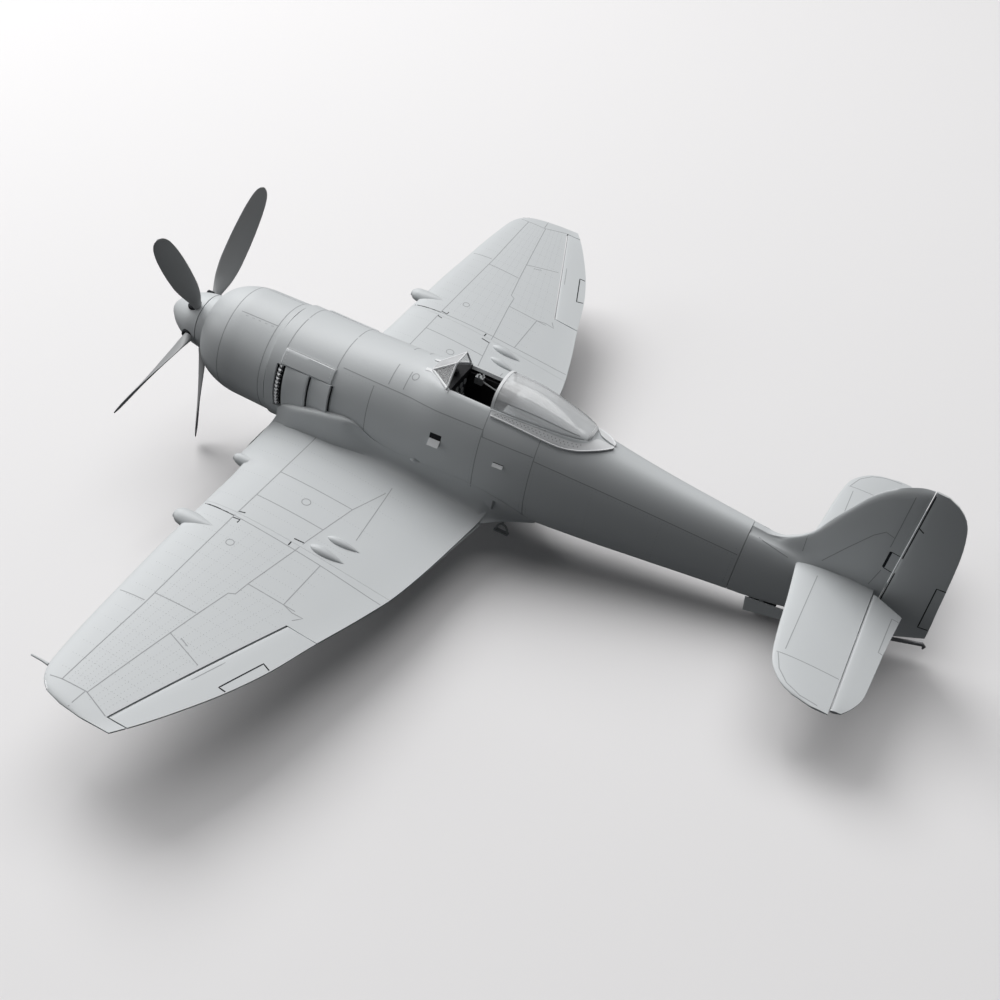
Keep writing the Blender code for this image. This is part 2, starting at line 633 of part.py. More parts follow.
def main_gear(side, sign):
    cx, cy, cz = wheel_centre(WHEEL_X, WHEEL_Y, WHEEL_RADIUS, WHEEL_FLATS)
    tyre = [(-2.8, 8.4), (-3.7, 10.6), (-3.2, 12.6), (-1.4, 13.4), (1.4, 13.4), (3.2, 12.6), (3.7, 10.6), (2.8, 8.4)]
    verts, faces = lathe(tyre, (cx, cy, cz), (1, 0, 0), WHEEL_FLATS, ring=True, facet=DOWN)
    emit("main_tyre_" + side, mirror(verts, sign), faces, (0.05, 0.05, 0.052), 0.8, pivot=("wheel", sign))
    hub = [(-2.2, 1.4), (-2.2, 3.2), (-1.3, 5.0), (-2.4, 8.1), (2.4, 8.1), (1.3, 5.0), (2.2, 3.2), (2.2, 1.4)]
    verts, faces = lathe(hub, (cx, cy, cz), (1, 0, 0), WHEEL_FLATS, ring=True, facet=DOWN)
    emit("wheel_hub_" + side, mirror(verts, sign), faces, PLASTIC, pivot=("wheel", sign))
    x = cx + 6.0
    top = wing_chord_z(x, 78.0) - wing_height(x, 78.0, False) - 0.35
    path = [(x, 76.6, top), (x, 76.9, top - 8), (x, 77.2, top - 8.4), (x, cy, cz + 2.4), (x - 0.4, cy, cz + 0.8),
            (x - 1.6, cy, cz), (x - 3.0, cy, cz), (cx - 2.6, cy, cz)]
    verts, faces = tube(path, [1.9, 1.9, 1.35, 1.35, 1.35, 1.3, 1.3, 1.3], 12)
    emit("main_leg_" + side, mirror(verts, sign), faces, PLASTIC)
    ring = [(72.0, top - 1.4), (84.5, top - 1.9), (83.0, top - 13.5), (80.5, top - 19.0), (75.0, top - 19.0),
            (72.4, top - 12.0)]
    verts, faces = solid([[(px, y, z) for y, z in ring] for px in (x + 2.4, x + 3.2)])
    emit("main_door_" + side, mirror(verts, sign), faces, PLASTIC)


def tail_gear():
    cx, cy, cz = wheel_centre(0.0, TAIL_WHEEL_Y, TAIL_WHEEL_RADIUS, TAIL_WHEEL_FLATS)
    tyre = [(-0.8, 0.75), (-0.8, 2.6), (-1.35, 3.6), (-1.2, 4.9), (-0.6, 5.5), (0.6, 5.5), (1.2, 4.9),
            (1.35, 3.6), (0.8, 2.6), (0.8, 0.75)]
    verts, faces = lathe(tyre, (cx, cy, cz), (1, 0, 0), TAIL_WHEEL_FLATS, ring=True, facet=DOWN)
    emit("tail_wheel", verts, faces, (0.05, 0.05, 0.052), 0.8, pivot=("tailwheel", 1))
    path = [(0, cy - 2.6, -3.4), (0, cy - 2.6, cz + 7.4), (1.0, cy - 2.4, cz + 6.6), (2.0, cy - 2.0, cz + 5.6),
            (2.1, cy - 0.8, cz + 2.0), (2.1, cy - 0.1, cz + 0.5), (1.6, cy, cz), (-1.4, cy, cz)]
    verts, faces = tube(path, [0.95, 0.95, 0.8, 0.55, 0.55, 0.6, 0.64, 0.64], 10)
    emit("tail_strut", verts, faces, PLASTIC, pivot=("castor", 1))
    for side, sign in (("left", 1), ("right", -1)):
        ring = [(266.6, -11.2), (281.6, -9.4), (281.8, -14.4), (267.6, -17.9)]
        verts, faces = solid([[(px, y, z) for y, z in ring] for px in (5.15, 5.75)])
        emit("tail_door_" + side, mirror(verts, sign), faces, PLASTIC)


def fittings():
    verts, faces = tube([(0, 299.5, -12.8), (0, 312.0, -8.3), (0, 329.0, -2.2), (0, 331.6, -1.3),
                         (0, 332.6, -2.0), (0, 332.4, -3.2)], [0.8, 0.8, 0.8, 0.8, 0.7, 0.4], 8)
    emit("arrestor_hook", verts, faces, (0.3, 0.3, 0.31), 0.5, 0.3, pivot=("hook", 1))
    verts, faces = tube([(9.2, 166.4, -22.9), (9.3, 167.2, -28.6), (9.3, 165.2, -30.2), (9.3, 165.4, -33.0),
                         (9.3, 167.2, -33.2), (9.3, 171.2, -32.6)], [0.7, 0.6, 0.5, 0.5, 0.5, 0.6], 8)
    emit("boarding_step", verts, faces, PLASTIC)
    verts, faces = tube([(171.0, 79.0, -8.6), (170.8, 76.2, -8.6), (170.8, 72.0, -8.6)], [0.55, 0.45, 0.35], 8)
    verts = [(x, y - 0.2, z) for x, y, z in verts]
    emit("pitot_tube", verts, faces, PLASTIC, pivot=("fold", 1))


# ---------------------------------------------------------------- pivots and objects
def wing_fold_pivot(sign):
    y = 105.0
    crest = max(wing_height(FOLD_X, v, True) for v in np.linspace(74, 150, 60))
    return sign * FOLD_X, y, wing_chord_z(FOLD_X, y) + crest + 0.3


def pivot_point(key, sign):
    if key == "prop":
        return 0.0, PROP_Y, 0.0
    if key == "fold":
        return wing_fold_pivot(sign)
    if key == "aileron":
        x = AILERON_IN
        return sign * x, rear_line(x) + 1.9, wing_chord_z(x, rear_line(x) + 1.9)
    if key in ("flap_in", "flap_out"):
        x = 20.5 if key == "flap_in" else FOLD_X + GAP
        y = rear_line(x) + 0.4
        return sign * x, y, wing_chord_z(x, y) - max(wing_height(x, y, False), 0.95)
    if key == "elevator":
        return 0.0, ELEV_AXIS, STAB_Z
    if key == "rudder":
        return 0.0, RUDDER_AXIS, 0.0
    if key == "canopy":
        return 0.0, CANOPY_FRONT, DECK_Z
    if key == "wheel":
        x, y, z = wheel_centre(WHEEL_X, WHEEL_Y, WHEEL_RADIUS, WHEEL_FLATS)
        return sign * x, y, z
    x, y, z = wheel_centre(0.0, TAIL_WHEEL_Y, TAIL_WHEEL_RADIUS, TAIL_WHEEL_FLATS)
    if key == "castor":
        return 0.0, y - 2.6, z + 6.0
    if key == "tailwheel":
        return x, y, z
    return 0.0, 299.5, -12.8


def make_objects():
    for name, verts, faces, colour, rough, metal, pivot in pieces:
        at = place(pivot_point(*pivot)) if pivot else (0.0, 0.0, 0.0)
        bm = bmesh.new()
        for v in verts:
            p = place(v)
            bm.verts.new((p[0] - at[0], p[1] - at[1], p[2] - at[2]))
        bm.verts.ensure_lookup_table()
        for f in faces:
            bm.faces.new([bm.verts[k] for k in f])
        bmesh.ops.recalc_face_normals(bm, faces=bm.faces[:])
        mesh = bpy.data.meshes.new(name)
        bm.to_mesh(mesh)
        bm.free()
        material = bpy.data.materials.new(name)
        material.use_nodes = True
        shader = material.node_tree.nodes["Principled BSDF"]
        shader.inputs["Base Color"].default_value = (*colour, 1.0)
        shader.inputs["Roughness"].default_value = rough
        shader.inputs["Metallic"].default_value = metal
        mesh.materials.append(material)
        obj = bpy.data.objects.new(name, mesh)
        obj.location = at
        bpy.context.scene.collection.objects.link(obj)


def cut_tail_bay():
    """Pocket for the tail wheel in the tail section."""
    verts, faces = box(-4.3, 4.3, 265.8, 282.6, -24.0, -2.8)
    mesh = bpy.data.meshes.new("tail_bay_cut")
    mesh.from_pydata([place(v) for v in verts], [], faces)
    cutter = bpy.data.objects.new("tail_bay_cut", mesh)
    cutter.hide_render = True
    cutter.display_type = 'WIRE'
    bpy.context.scene.collection.objects.link(cutter)
    body = bpy.data.objects["tail_section"]
    cut = body.modifiers.new("tail_bay", 'BOOLEAN')
    cut.operation = 'DIFFERENCE'
    cut.solver = 'EXACT'
    cut.object = cutter


for side, sign in (("left", 1), ("right", -1)):
    fuselage_half("fuselage_" + side, sign)
    inner_wing_upper("inner_wing_upper_" + side, sign)
    outer_wing("outer_wing_upper_" + side, True, sign)
    outer_wing("outer_wing_lower_" + side, False, sign)
    aileron("aileron_" + side, sign)
    flap("inner_flap_" + side, sign, 21.5, FOLD_X - GAP - 0.3, "flap_in")
    flap("outer_flap_" + side, sign, FOLD_X + GAP + 0.3, 112.0, "flap_out")
    stabiliser("tailplane_" + side, sign)
    elevator("elevator_" + side, sign)
    exhaust("exhaust_" + side, sign)
    canopy_rail("canopy_rail_" + side, sign)
    main_gear(side, sign)
tail_section()
inner_wing_lower()
rudder()
cowl()
engine()
propeller()
canopy()
windscreen()
cockpit()
tail_gear()
fittings()
make_objects()
cut_tail_bay()
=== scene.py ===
import json
import math
import bpy
import bmesh
import numpy as np
from mathutils import Matrix, Vector
from mathutils.bvhtree import BVHTree

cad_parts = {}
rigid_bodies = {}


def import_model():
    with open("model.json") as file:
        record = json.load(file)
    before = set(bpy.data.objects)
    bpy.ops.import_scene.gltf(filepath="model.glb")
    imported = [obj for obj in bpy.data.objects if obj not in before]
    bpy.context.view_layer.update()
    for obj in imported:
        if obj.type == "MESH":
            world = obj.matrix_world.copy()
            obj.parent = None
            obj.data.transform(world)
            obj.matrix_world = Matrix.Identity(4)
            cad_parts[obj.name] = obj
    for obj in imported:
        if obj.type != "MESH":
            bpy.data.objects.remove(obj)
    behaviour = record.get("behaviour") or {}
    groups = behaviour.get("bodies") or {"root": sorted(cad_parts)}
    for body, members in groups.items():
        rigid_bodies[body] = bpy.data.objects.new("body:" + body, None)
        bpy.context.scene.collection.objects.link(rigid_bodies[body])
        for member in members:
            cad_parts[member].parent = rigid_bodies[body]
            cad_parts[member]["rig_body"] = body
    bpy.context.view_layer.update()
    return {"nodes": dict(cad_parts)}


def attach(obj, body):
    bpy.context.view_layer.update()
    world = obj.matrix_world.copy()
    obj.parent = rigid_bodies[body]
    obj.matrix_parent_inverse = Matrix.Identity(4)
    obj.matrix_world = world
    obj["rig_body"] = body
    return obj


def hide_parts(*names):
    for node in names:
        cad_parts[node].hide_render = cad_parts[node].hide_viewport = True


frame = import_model()
nodes = frame["nodes"]

# working units are millimetres with the aircraft level: +X port, +Y aft, +Z up, origin at the spinner tip
stance = {"noseUp": math.radians(9.83), "tipHeight": 66.5, "middle": 165.256}


def turn(v):
    c, s = math.cos(stance["noseUp"]), math.sin(stance["noseUp"])
    v = np.asarray(v, float)
    return np.stack([v[..., 0], c * v[..., 1] + s * v[..., 2], c * v[..., 2] - s * v[..., 1]], -1)


def place(v):
    return (turn(v) + (0, -stance["middle"], stance["tipHeight"])) * 0.001


class Curve:
    # monotone cubic through a design table
    def __init__(self, *pairs):
        self.x, self.y = (np.array(c, float) for c in zip(*pairs))
        h = np.diff(self.x)
        d = np.diff(self.y) / h
        m = np.zeros(len(self.x))
        m[0], m[-1] = d[0], d[-1]
        for i in range(1, len(d)):
            if d[i - 1] * d[i] > 0:
                a, b = 2 * h[i] + h[i - 1], h[i] + 2 * h[i - 1]
                m[i] = (a + b) / (a / d[i - 1] + b / d[i])
        self.m = m

    def __call__(self, x):
        x = np.clip(x, self.x[0], self.x[-1])
        i = np.clip(np.searchsorted(self.x, x, side="right") - 1, 0, len(self.x) - 2)
        h = self.x[i + 1] - self.x[i]
        t = (x - self.x[i]) / h
        found = ((1 + 2 * t) * (1 - t) ** 2 * self.y[i] + t * (1 - t) ** 2 * h * self.m[i]
                 + t * t * (3 - 2 * t) * self.y[i + 1] + t * t * (t - 1) * h * self.m[i + 1])
        return found if np.ndim(found) else float(found)


def steps(*marks, pitch=2.0):
    out = [marks[0]]
    for a, b in zip(marks[:-1], marks[1:]):
        n = max(1, int(math.ceil((b - a) / pitch)))
        out += [a + (b - a) * k / n for k in range(1, n + 1)]
    return out


class Field:
    def __init__(self, finish, socket):
        self.finish, self.socket = finish, socket

    def join(self, kind, a, b):
        node = self.finish.node("ShaderNodeMath", {"operation": kind}, {0: a, 1: b})
        return Field(self.finish, node.outputs[0])

    def __add__(self, other):
        return self.join("ADD", self, other)

    def __radd__(self, other):
        return self.join("ADD", other, self)

    def __sub__(self, other):
        return self.join("SUBTRACT", self, other)

    def __rsub__(self, other):
        return self.join("SUBTRACT", other, self)

    def __mul__(self, other):
        return self.join("MULTIPLY", self, other)

    def __rmul__(self, other):
        return self.join("MULTIPLY", other, self)

    def above(self, level, soft):
        node = self.finish.node("ShaderNodeMapRange", {"interpolation_type": "SMOOTHSTEP"},
                                {"Value": self, "From Min": level - soft, "From Max": level + soft})
        return Field(self.finish, node.outputs["Result"])


class Finish:
    def __init__(self, name):
        self.material = bpy.data.materials.new(name)
        self.material.use_nodes = True
        self.tree = self.material.node_tree
        self.shader = self.tree.nodes["Principled BSDF"]
        self.coords = self.node("ShaderNodeTexCoord").outputs["Object"]

    def node(self, kind, settings=None, inputs=None):
        node = self.tree.nodes.new(kind)
        for key, value in (settings or {}).items():
            setattr(node, key, value)
        for key, value in (inputs or {}).items():
            self.feed(node.inputs[key], value)
        return node

    def feed(self, socket, value):
        if isinstance(value, Field):
            self.tree.links.new(value.socket, socket)
        elif isinstance(value, bpy.types.NodeSocket):
            self.tree.links.new(value, socket)
        else:
            socket.default_value = value

    def noise(self, scale, detail=3.0, rough=0.55, stretch=(1, 1, 1)):
        turned = self.node("ShaderNodeMapping", inputs={"Vector": self.coords, "Scale": stretch})
        made = self.node("ShaderNodeTexNoise", {"noise_dimensions": "3D"},
                         {"Vector": turned.outputs[0], "Scale": scale, "Detail": detail, "Roughness": rough})
        return Field(self, made.outputs["Fac"])

    def tint(self, share, a, b):
        mix = self.node("ShaderNodeMix", {"data_type": "RGBA"}, {"Factor": share})
        mix.inputs[6].default_value = (*a, 1)
        mix.inputs[7].default_value = (*b, 1)
        return mix.outputs[2]

    def bump(self, height, strength, distance):
        made = self.node("ShaderNodeBump", {}, {"Height": height, "Strength": strength, "Distance": distance})
        self.feed(self.shader.inputs["Normal"], made.outputs["Normal"])

    def put(self, **values):
        for key, value in values.items():
            self.feed(self.shader.inputs[key.replace("_", " ")], value)
        return self.material


def plasticFinish(name, colour, look):
    # moulded styrene: faint flow clouding, fine skin texture
    f = Finish(name)
    cloud = f.noise(look["clouds"], 4, 0.6)
    grain = f.noise(look["grain"], 2, 0.5)
    dull = tuple(c * (1 - look["depth"]) for c in colour)
    f.put(Base_Color=f.tint(cloud, dull, colour), Roughness=look["rough"] + 0.08 * (cloud - 0.5),
          Specular_IOR_Level=look["shine"])
    f.bump(grain, look["bump"], 0.00004)
    return f.material


def clearFinish(name, look):
    f = Finish(name)
    haze = f.noise(look["haze"], 3, 0.5)
    f.put(Base_Color=(*look["colour"], 1), Roughness=0.04 + 0.05 * haze, Alpha=look["alpha"] + 0.08 * haze,
          Specular_IOR_Level=1.0, Coat_Weight=1.0, Coat_Roughness=0.03)
    return f.material


def rubberFinish(name, colour):
    f = Finish(name)
    scuff = f.noise(260, 5, 0.6)
    f.put(Base_Color=f.tint(scuff.above(0.55, 0.2), colour, tuple(c * 1.7 for c in colour)),
          Roughness=0.7 + 0.15 * scuff)
    f.bump(f.noise(1800, 2, 0.5), 0.3, 0.00005)
    return f.material


def metalFinish(name, colour, rough):
    f = Finish(name)
    rub = f.noise(300, 4, 0.6, (1, 0.15, 1))
    f.put(Base_Color=f.tint(rub, tuple(c * 0.8 for c in colour), colour), Metallic=0.55,
          Roughness=rough + 0.15 * rub)
    f.bump(rub, 0.15, 0.00005)
    return f.material


def floorFinish(name, colour):
    f = Finish(name)
    tone = f.noise(1.4, 3, 0.5)
    f.put(Base_Color=f.tint(tone, tuple(c * 0.985 for c in colour), colour), Roughness=0.85 + 0.05 * tone,
          Specular_IOR_Level=0.1)
    return f.material


paint = {
    # the mid grey: own colour of the cockpit parts, and painted shade on the boarding stirrup and the strip
    # holes
    "greyPlastic": (0.585, 0.605, 0.615), "midPlastic": (0.33, 0.34, 0.345),
    # the blade grey is the body's grey plastic painted darker: painted shade
    "bladePlastic": (0.34, 0.345, 0.35), "darkPlastic": (0.018, 0.018, 0.02),
    # the light grey is the body's grey plastic painted lighter: painted highlight on frames, strips, stubs,
    # flaps and strake edges
    "whitePlastic": (0.78, 0.79, 0.8), "grooveShade": (0.36, 0.37, 0.38),
    "deepShade": (0.03, 0.031, 0.034), "rubber": (0.025, 0.025, 0.027), "hookMetal": (0.24, 0.24, 0.25),
}
skinLook = {"clouds": 22, "grain": 1500, "depth": 0.035, "rough": 0.46, "shine": 0.38, "bump": 0.25}
finishes = {n: plasticFinish(n, paint[n], skinLook) for n in
            ("greyPlastic", "midPlastic", "bladePlastic", "darkPlastic", "whitePlastic")}
for name, rough, shine in (("grooveShade", 0.8, 0.1), ("deepShade", 0.9, 0.05)):
    finishes[name] = plasticFinish(name, paint[name], {**skinLook, "rough": rough, "shine": shine})
# white base at partial alpha: painted reflection on the clear plastic, strongest on the windscreen front pane
clearLooks = {"clearPlastic": ((0.95, 0.96, 0.97), 0.34), "frostedPlastic": ((0.95, 0.96, 0.97), 0.62),
              "sidePlastic": ((0.9, 0.91, 0.92), 0.14)}
for name, (colour, alpha) in clearLooks.items():
    finishes[name] = clearFinish(name, {"haze": 60, "colour": colour, "alpha": alpha})
finishes["rubber"] = rubberFinish("rubber", paint["rubber"])
finishes["hookMetal"] = metalFinish("hookMetal", paint["hookMetal"], 0.38)
slots = {"greyPlastic": "grey_plastic", "midPlastic": "mid_plastic", "bladePlastic": "blade_plastic",
         "darkPlastic": "dark_plastic", "whitePlastic": "grey_plastic", "clearPlastic": "clear_plastic",
         "frostedPlastic": "clear_plastic", "sidePlastic": "clear_plastic",
         "rubber": "tyre_rubber", "hookMetal": "hook_metal"}
print("finishes ready")

built = {}
sides = (("left", 1), ("right", -1))


def addPiece(name, verts, faces, finish, body=None, replaces=(), sharp=38):
    verts = np.asarray(verts, float)
    mesh = bpy.data.meshes.new(name)
    bm = bmesh.new()
    for p in place(verts):
        bm.verts.new(p)
    bm.verts.ensure_lookup_table()
    for f in faces:
        try:
            bm.faces.new([bm.verts[k] for k in f])
        except ValueError:
            pass
    bmesh.ops.recalc_face_normals(bm, faces=bm.faces[:])
    bm.to_mesh(mesh)
    bm.free()
    mesh.shade_smooth()
    mesh.set_sharp_from_angle(angle=math.radians(sharp))
    mesh.materials.append(finishes[finish])
    obj = bpy.data.objects.new(name, mesh)
    bpy.context.scene.collection.objects.link(obj)
    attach(obj, body or nodes[replaces[0]]["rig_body"])
    if replaces:
        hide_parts(*replaces)
    finish in slots
    built[name] = (verts, [tuple(f) for f in faces])
    return obj


def mirrored(verts, sign):
    return np.asarray(verts, float) * (sign, 1, 1)


def addHalf(name, shape, sign, finish, body=None, **extra):
    return addPiece(name, mirrored(shape[0], sign), shape[1], finish, body, **extra)


def around(n):
    return np.linspace(0, 2 * math.pi, n, endpoint=False)


def everyCell(i, j):
    return True


def cellShell(outer, inner, present=everyCell):
    outer, inner = np.asarray(outer, float), np.asarray(inner, float)
    rows, cols = outer.shape[:2]
    verts = np.concatenate([outer.reshape(-1, 3), inner.reshape(-1, 3)])
    half = rows * cols
    kept = np.zeros((rows + 1, cols + 1), bool)
    for i in range(rows - 1):
        for j in range(cols - 1):
            kept[i, j] = present(i, j)
    faces = []
    for i in range(rows - 1):
        for j in range(cols - 1):
            if not kept[i, j]:
                continue
            a, b, c, d = i * cols + j, (i + 1) * cols + j, (i + 1) * cols + j + 1, i * cols + j + 1
            faces += [(a, b, c, d), (d + half, c + half, b + half, a + half)]
            for other, (p, q) in (((i, j - 1), (b, a)), ((i + 1, j), (c, b)), ((i, j + 1), (d, c)),
                                  ((i - 1, j), (a, d))):
                if not kept[other]:
                    faces.append((q, p, p + half, q + half))
    used = sorted({k for f in faces for k in f})
    index = {k: n for n, k in enumerate(used)}
    return verts[used], [tuple(index[k] for k in f) for f in faces]


def loft(rings, closed=False):
    rings = np.asarray(rings, float)
    count, n = rings.shape[:2]
    faces = []
    for i in range(count if closed else count - 1):
        a, b = i * n, ((i + 1) % count) * n
        faces += [(a + j, a + (j + 1) % n, b + (j + 1) % n, b + j) for j in range(n)]
    if not closed:
        faces += [tuple(range(n))[::-1], tuple(range((count - 1) * n, count * n))]
    return rings.reshape(-1, 3), faces


def lathe(profile, centre, axis, n=64, ring=False):
    ax = np.array(axis, float) / np.linalg.norm(axis)
    side = np.cross(ax, (0, 0, 1.0) if abs(ax[2]) < 0.9 else (0, 1.0, 0))
    side /= np.linalg.norm(side)
    up = np.cross(ax, side)
    a = around(n)[:, None]
    rings = [np.array(centre) + ax * along + (side * np.cos(a) + up * np.sin(a)) * max(r, 0.004) for along,
             r in profile]
    return loft(rings, ring)


def tube(path, radii, n=14, smooth=0):
    pts = np.array(path, float)
    rad = np.array(radii if hasattr(radii, "__len__") else [radii] * len(path), float)
    if smooth:
        s = np.concatenate([[0], np.cumsum(np.linalg.norm(np.diff(pts, axis=0), axis=1))])
        t = np.linspace(0, s[-1], smooth)
        pts = np.stack([Curve(*zip(s, pts[:, k]))(t) for k in range(3)], 1)
        rad = np.interp(t, s, rad)
    d = np.gradient(pts, axis=0)
    d /= np.linalg.norm(d, axis=1)[:, None]
    side = np.cross(d[0], (0.31, 0.87, 0.39))
    rings = []
    a = around(n)[:, None]
    for p, q, r in zip(pts, d, rad):
        side = side - q * np.dot(side, q)
        side /= np.linalg.norm(side)
        rings.append(p + (side * np.cos(a) + np.cross(q, side) * np.sin(a)) * r)
    return loft(rings)


def joined(*parts):
    verts, faces, base = [], [], 0
    for v, f in parts:
        verts.append(np.asarray(v, float))
        faces += [tuple(k + base for k in face) for face in f]
        base += len(v)
    return np.concatenate(verts), faces


def airfoil(t):
    t = np.clip(t, 0, 1)
    return (0.2969 * np.sqrt(t) - 0.126 * t - 0.3516 * t ** 2 + 0.2843 * t ** 3 - 0.1015 * t ** 4) / 0.1


def treeOf(*names):
    v, f = joined(*(built[n] for n in names))
    return BVHTree.FromPolygons([tuple(p) for p in v], [tuple(k) for k in f])


def landOn(tree, point, axis, facing):
    # meet the skin from outside along one level axis
    start = Vector(point)
    start[axis] = facing * 90.0
    way = Vector((0, 0, 0))
    way[axis] = -facing
    hit, normal, _, _ = tree.ray_cast(start, way)
    if hit is None:
        return None
    if normal[axis] * facing < 0:
        normal = -normal
    return np.array(hit), np.array(normal)


def teardrop(spine, half, rise, sink=0.6, n=16):
    # low fairing: stations along a line of (point, width share, height share)
    spine = np.array(spine, float)
    way = np.gradient(spine, axis=0)
    rings = []
    for k, p in enumerate(spine):
        d = way[k] / np.linalg.norm(way[k])
        side = np.cross(d, (0, 0, 1.0))
        side /= np.linalg.norm(side)
        a = around(n)
        h = np.where(np.sin(a) > 0, rise[k], sink)
        rings.append(p + np.outer(np.cos(a) * half[k], side) + np.outer(np.sin(a) * h, (0, 0, 1.0)))
    return loft(rings)


body = {
    "half": Curve((60.6, 23.5), (72, 23), (90, 21.9), (105, 20.9), (121, 20), (134.6, 19.2), (150, 18.2),
                  (165, 17.1), (185, 15.2), (200, 13.7), (225, 11.2), (258.6, 8.1), (270, 7.1), (290, 5),
                  (310, 2.3)),
    "top": Curve((60.6, 23.5), (72, 23.8), (90, 24.8), (105, 26), (121, 27.4), (128, 29.3), (134.6, 30.8),
                 (150, 31.2), (165, 31), (175, 30.2), (185, 28.5), (194, 27), (200, 25.8), (225, 22.4),
                 (258.6, 19.3), (290, 16.4), (310, 14.2)),
    "keel": Curve((60.6, -23.5), (90, -23.9), (128, -24), (150, -23.6), (165, -23.1), (185, -22),
                  (200, -20.8), (225, -18.2), (258.6, -14.6), (270, -13.6), (290, -10.9), (310, -7.2)),
    "filletZ": Curve((60, -14), (68, -12.5), (80, -9.6), (95, -8.3), (120, -9.2), (145, -12), (166, -15.5)),
    "deck": 27.3, "sill": 9.4, "wingCut": (66.1, 163.1), "slot": (64.4, 68.4, -6.5, 13.0),
    "well": (134.6, 157.0), "ends": (60.5, 258.7), "wall": 1.2,
    "deckSpan": (121, 194), "sillEnd": 190,
}


def bodyPoint(y, theta, inset=0.0, deck=True):
    w, top, keel = body["half"](y), body["top"](y), body["keel"](y)
    mid = 0.5 * (top + keel) - 1.5 * np.clip((y - 100) / 30.0, 0, 1)
    a = np.radians(theta)
    x = (w - inset) * np.maximum(np.cos(a), 0) ** (1 / 1.1)
    s = np.abs(np.sin(a)) ** (1 / 1.1)
    z = np.where(a > 0, mid + s * (top - mid - inset), mid - s * (mid - keel - inset))
    if deck and body["deckSpan"][0] <= y <= body["deckSpan"][1]:
        z = np.minimum(z, body["deck"] - inset)
    return np.stack([np.maximum(x, 0.0), np.full_like(x, y), z], -1)


def angleAtZ(y, z):
    t = np.linspace(-90, 90, 721)
    return float(np.interp(z, bodyPoint(y, t, deck=False)[:, 2], t))


def angleAtX(y, x):
    t = np.linspace(90, 0, 721)
    return float(np.interp(x, bodyPoint(y, t, deck=False)[:, 0], t))


def sidePoint(y, z):
    return bodyPoint(y, np.array([angleAtZ(y, z)]))[0]


def rootX(y):
    y = min(y, 163.0)
    return float(sidePoint(y, body["filletZ"](y))[0])


def fuselageHalf(name, sign):
    spans = (9, 2, 13, 12, 9)
    w0, w1 = body["wingCut"]
    s0, s1, sLow, sHigh = body["slot"]
    c0, c1 = body["well"]
    ys = steps(body["ends"][0], s0, w0, s1, 80, 100, 121, c0, c1, w1, 200, body["ends"][1], pitch=2.4)
    outer, inner = [], []
    for y in ys:
        cockpit = body["deckSpan"][0] <= y <= body["sillEnd"]
        sill = body["sill"] if cockpit else 0.42 * body["half"](y)
        marks = [-90.0, angleAtZ(y, body["filletZ"](y) + 0.2), angleAtZ(y, sLow), angleAtZ(y, sHigh),
                 angleAtX(y, sill), 90.0]
        blend = np.clip((y - 180) / 25.0, 0, 1)
        marks = np.array(marks) * (1 - blend) + np.linspace(-90, 90, 6) * blend
        thetas = np.concatenate([[marks[0]]] + [marks[m] + (marks[m + 1] - marks[m]) * np.arange(1, c + 1) / c
                                                for m, c in enumerate(spans)])
        outer.append(bodyPoint(y, thetas))
        inner.append(bodyPoint(y, thetas, body["wall"]))
    a, b, c, d = np.cumsum(spans)[:4]

    def present(i, j):
        y = 0.5 * (ys[i] + ys[i + 1])
        if w0 < y < w1 and j < a - 4:
            return False
        if s0 < y < s1 and b <= j < c:
            return False
        return not (c0 < y < c1 and j >= d)
    addHalf(name, cellShell(outer, inner, present), sign, "greyPlastic",
            replaces=["fuselage_" + name.split("_")[1]])


for side, sign in sides:
    fuselageHalf("body_" + side, sign)
print("fuselage ready")

tail = {
    "crest": Curve((262, 18.6), (269, 19.4), (274.3, 22.4), (279.7, 28), (283.8, 36.8), (288, 45),
                   (292.2, 52.5), (296.9, 58.1), (302.1, 62), (307.8, 64.4), (311.4, 64.8)),
    "nose": Curve((18, 269), (28, 279.7), (45, 288), (58.1, 296.9), (64.4, 307.8)),
    "full": Curve((14, 2.0), (64, 1.1)),
    "bay": (4.3, 265.8, 282.6, -24.0, -2.8),
}


def finHalf(y, z):
    nose = tail["nose"](z)
    return 0.3 + tail["full"](z) * airfoil((y - nose) / np.maximum(331 - nose, 5)) * 0.85


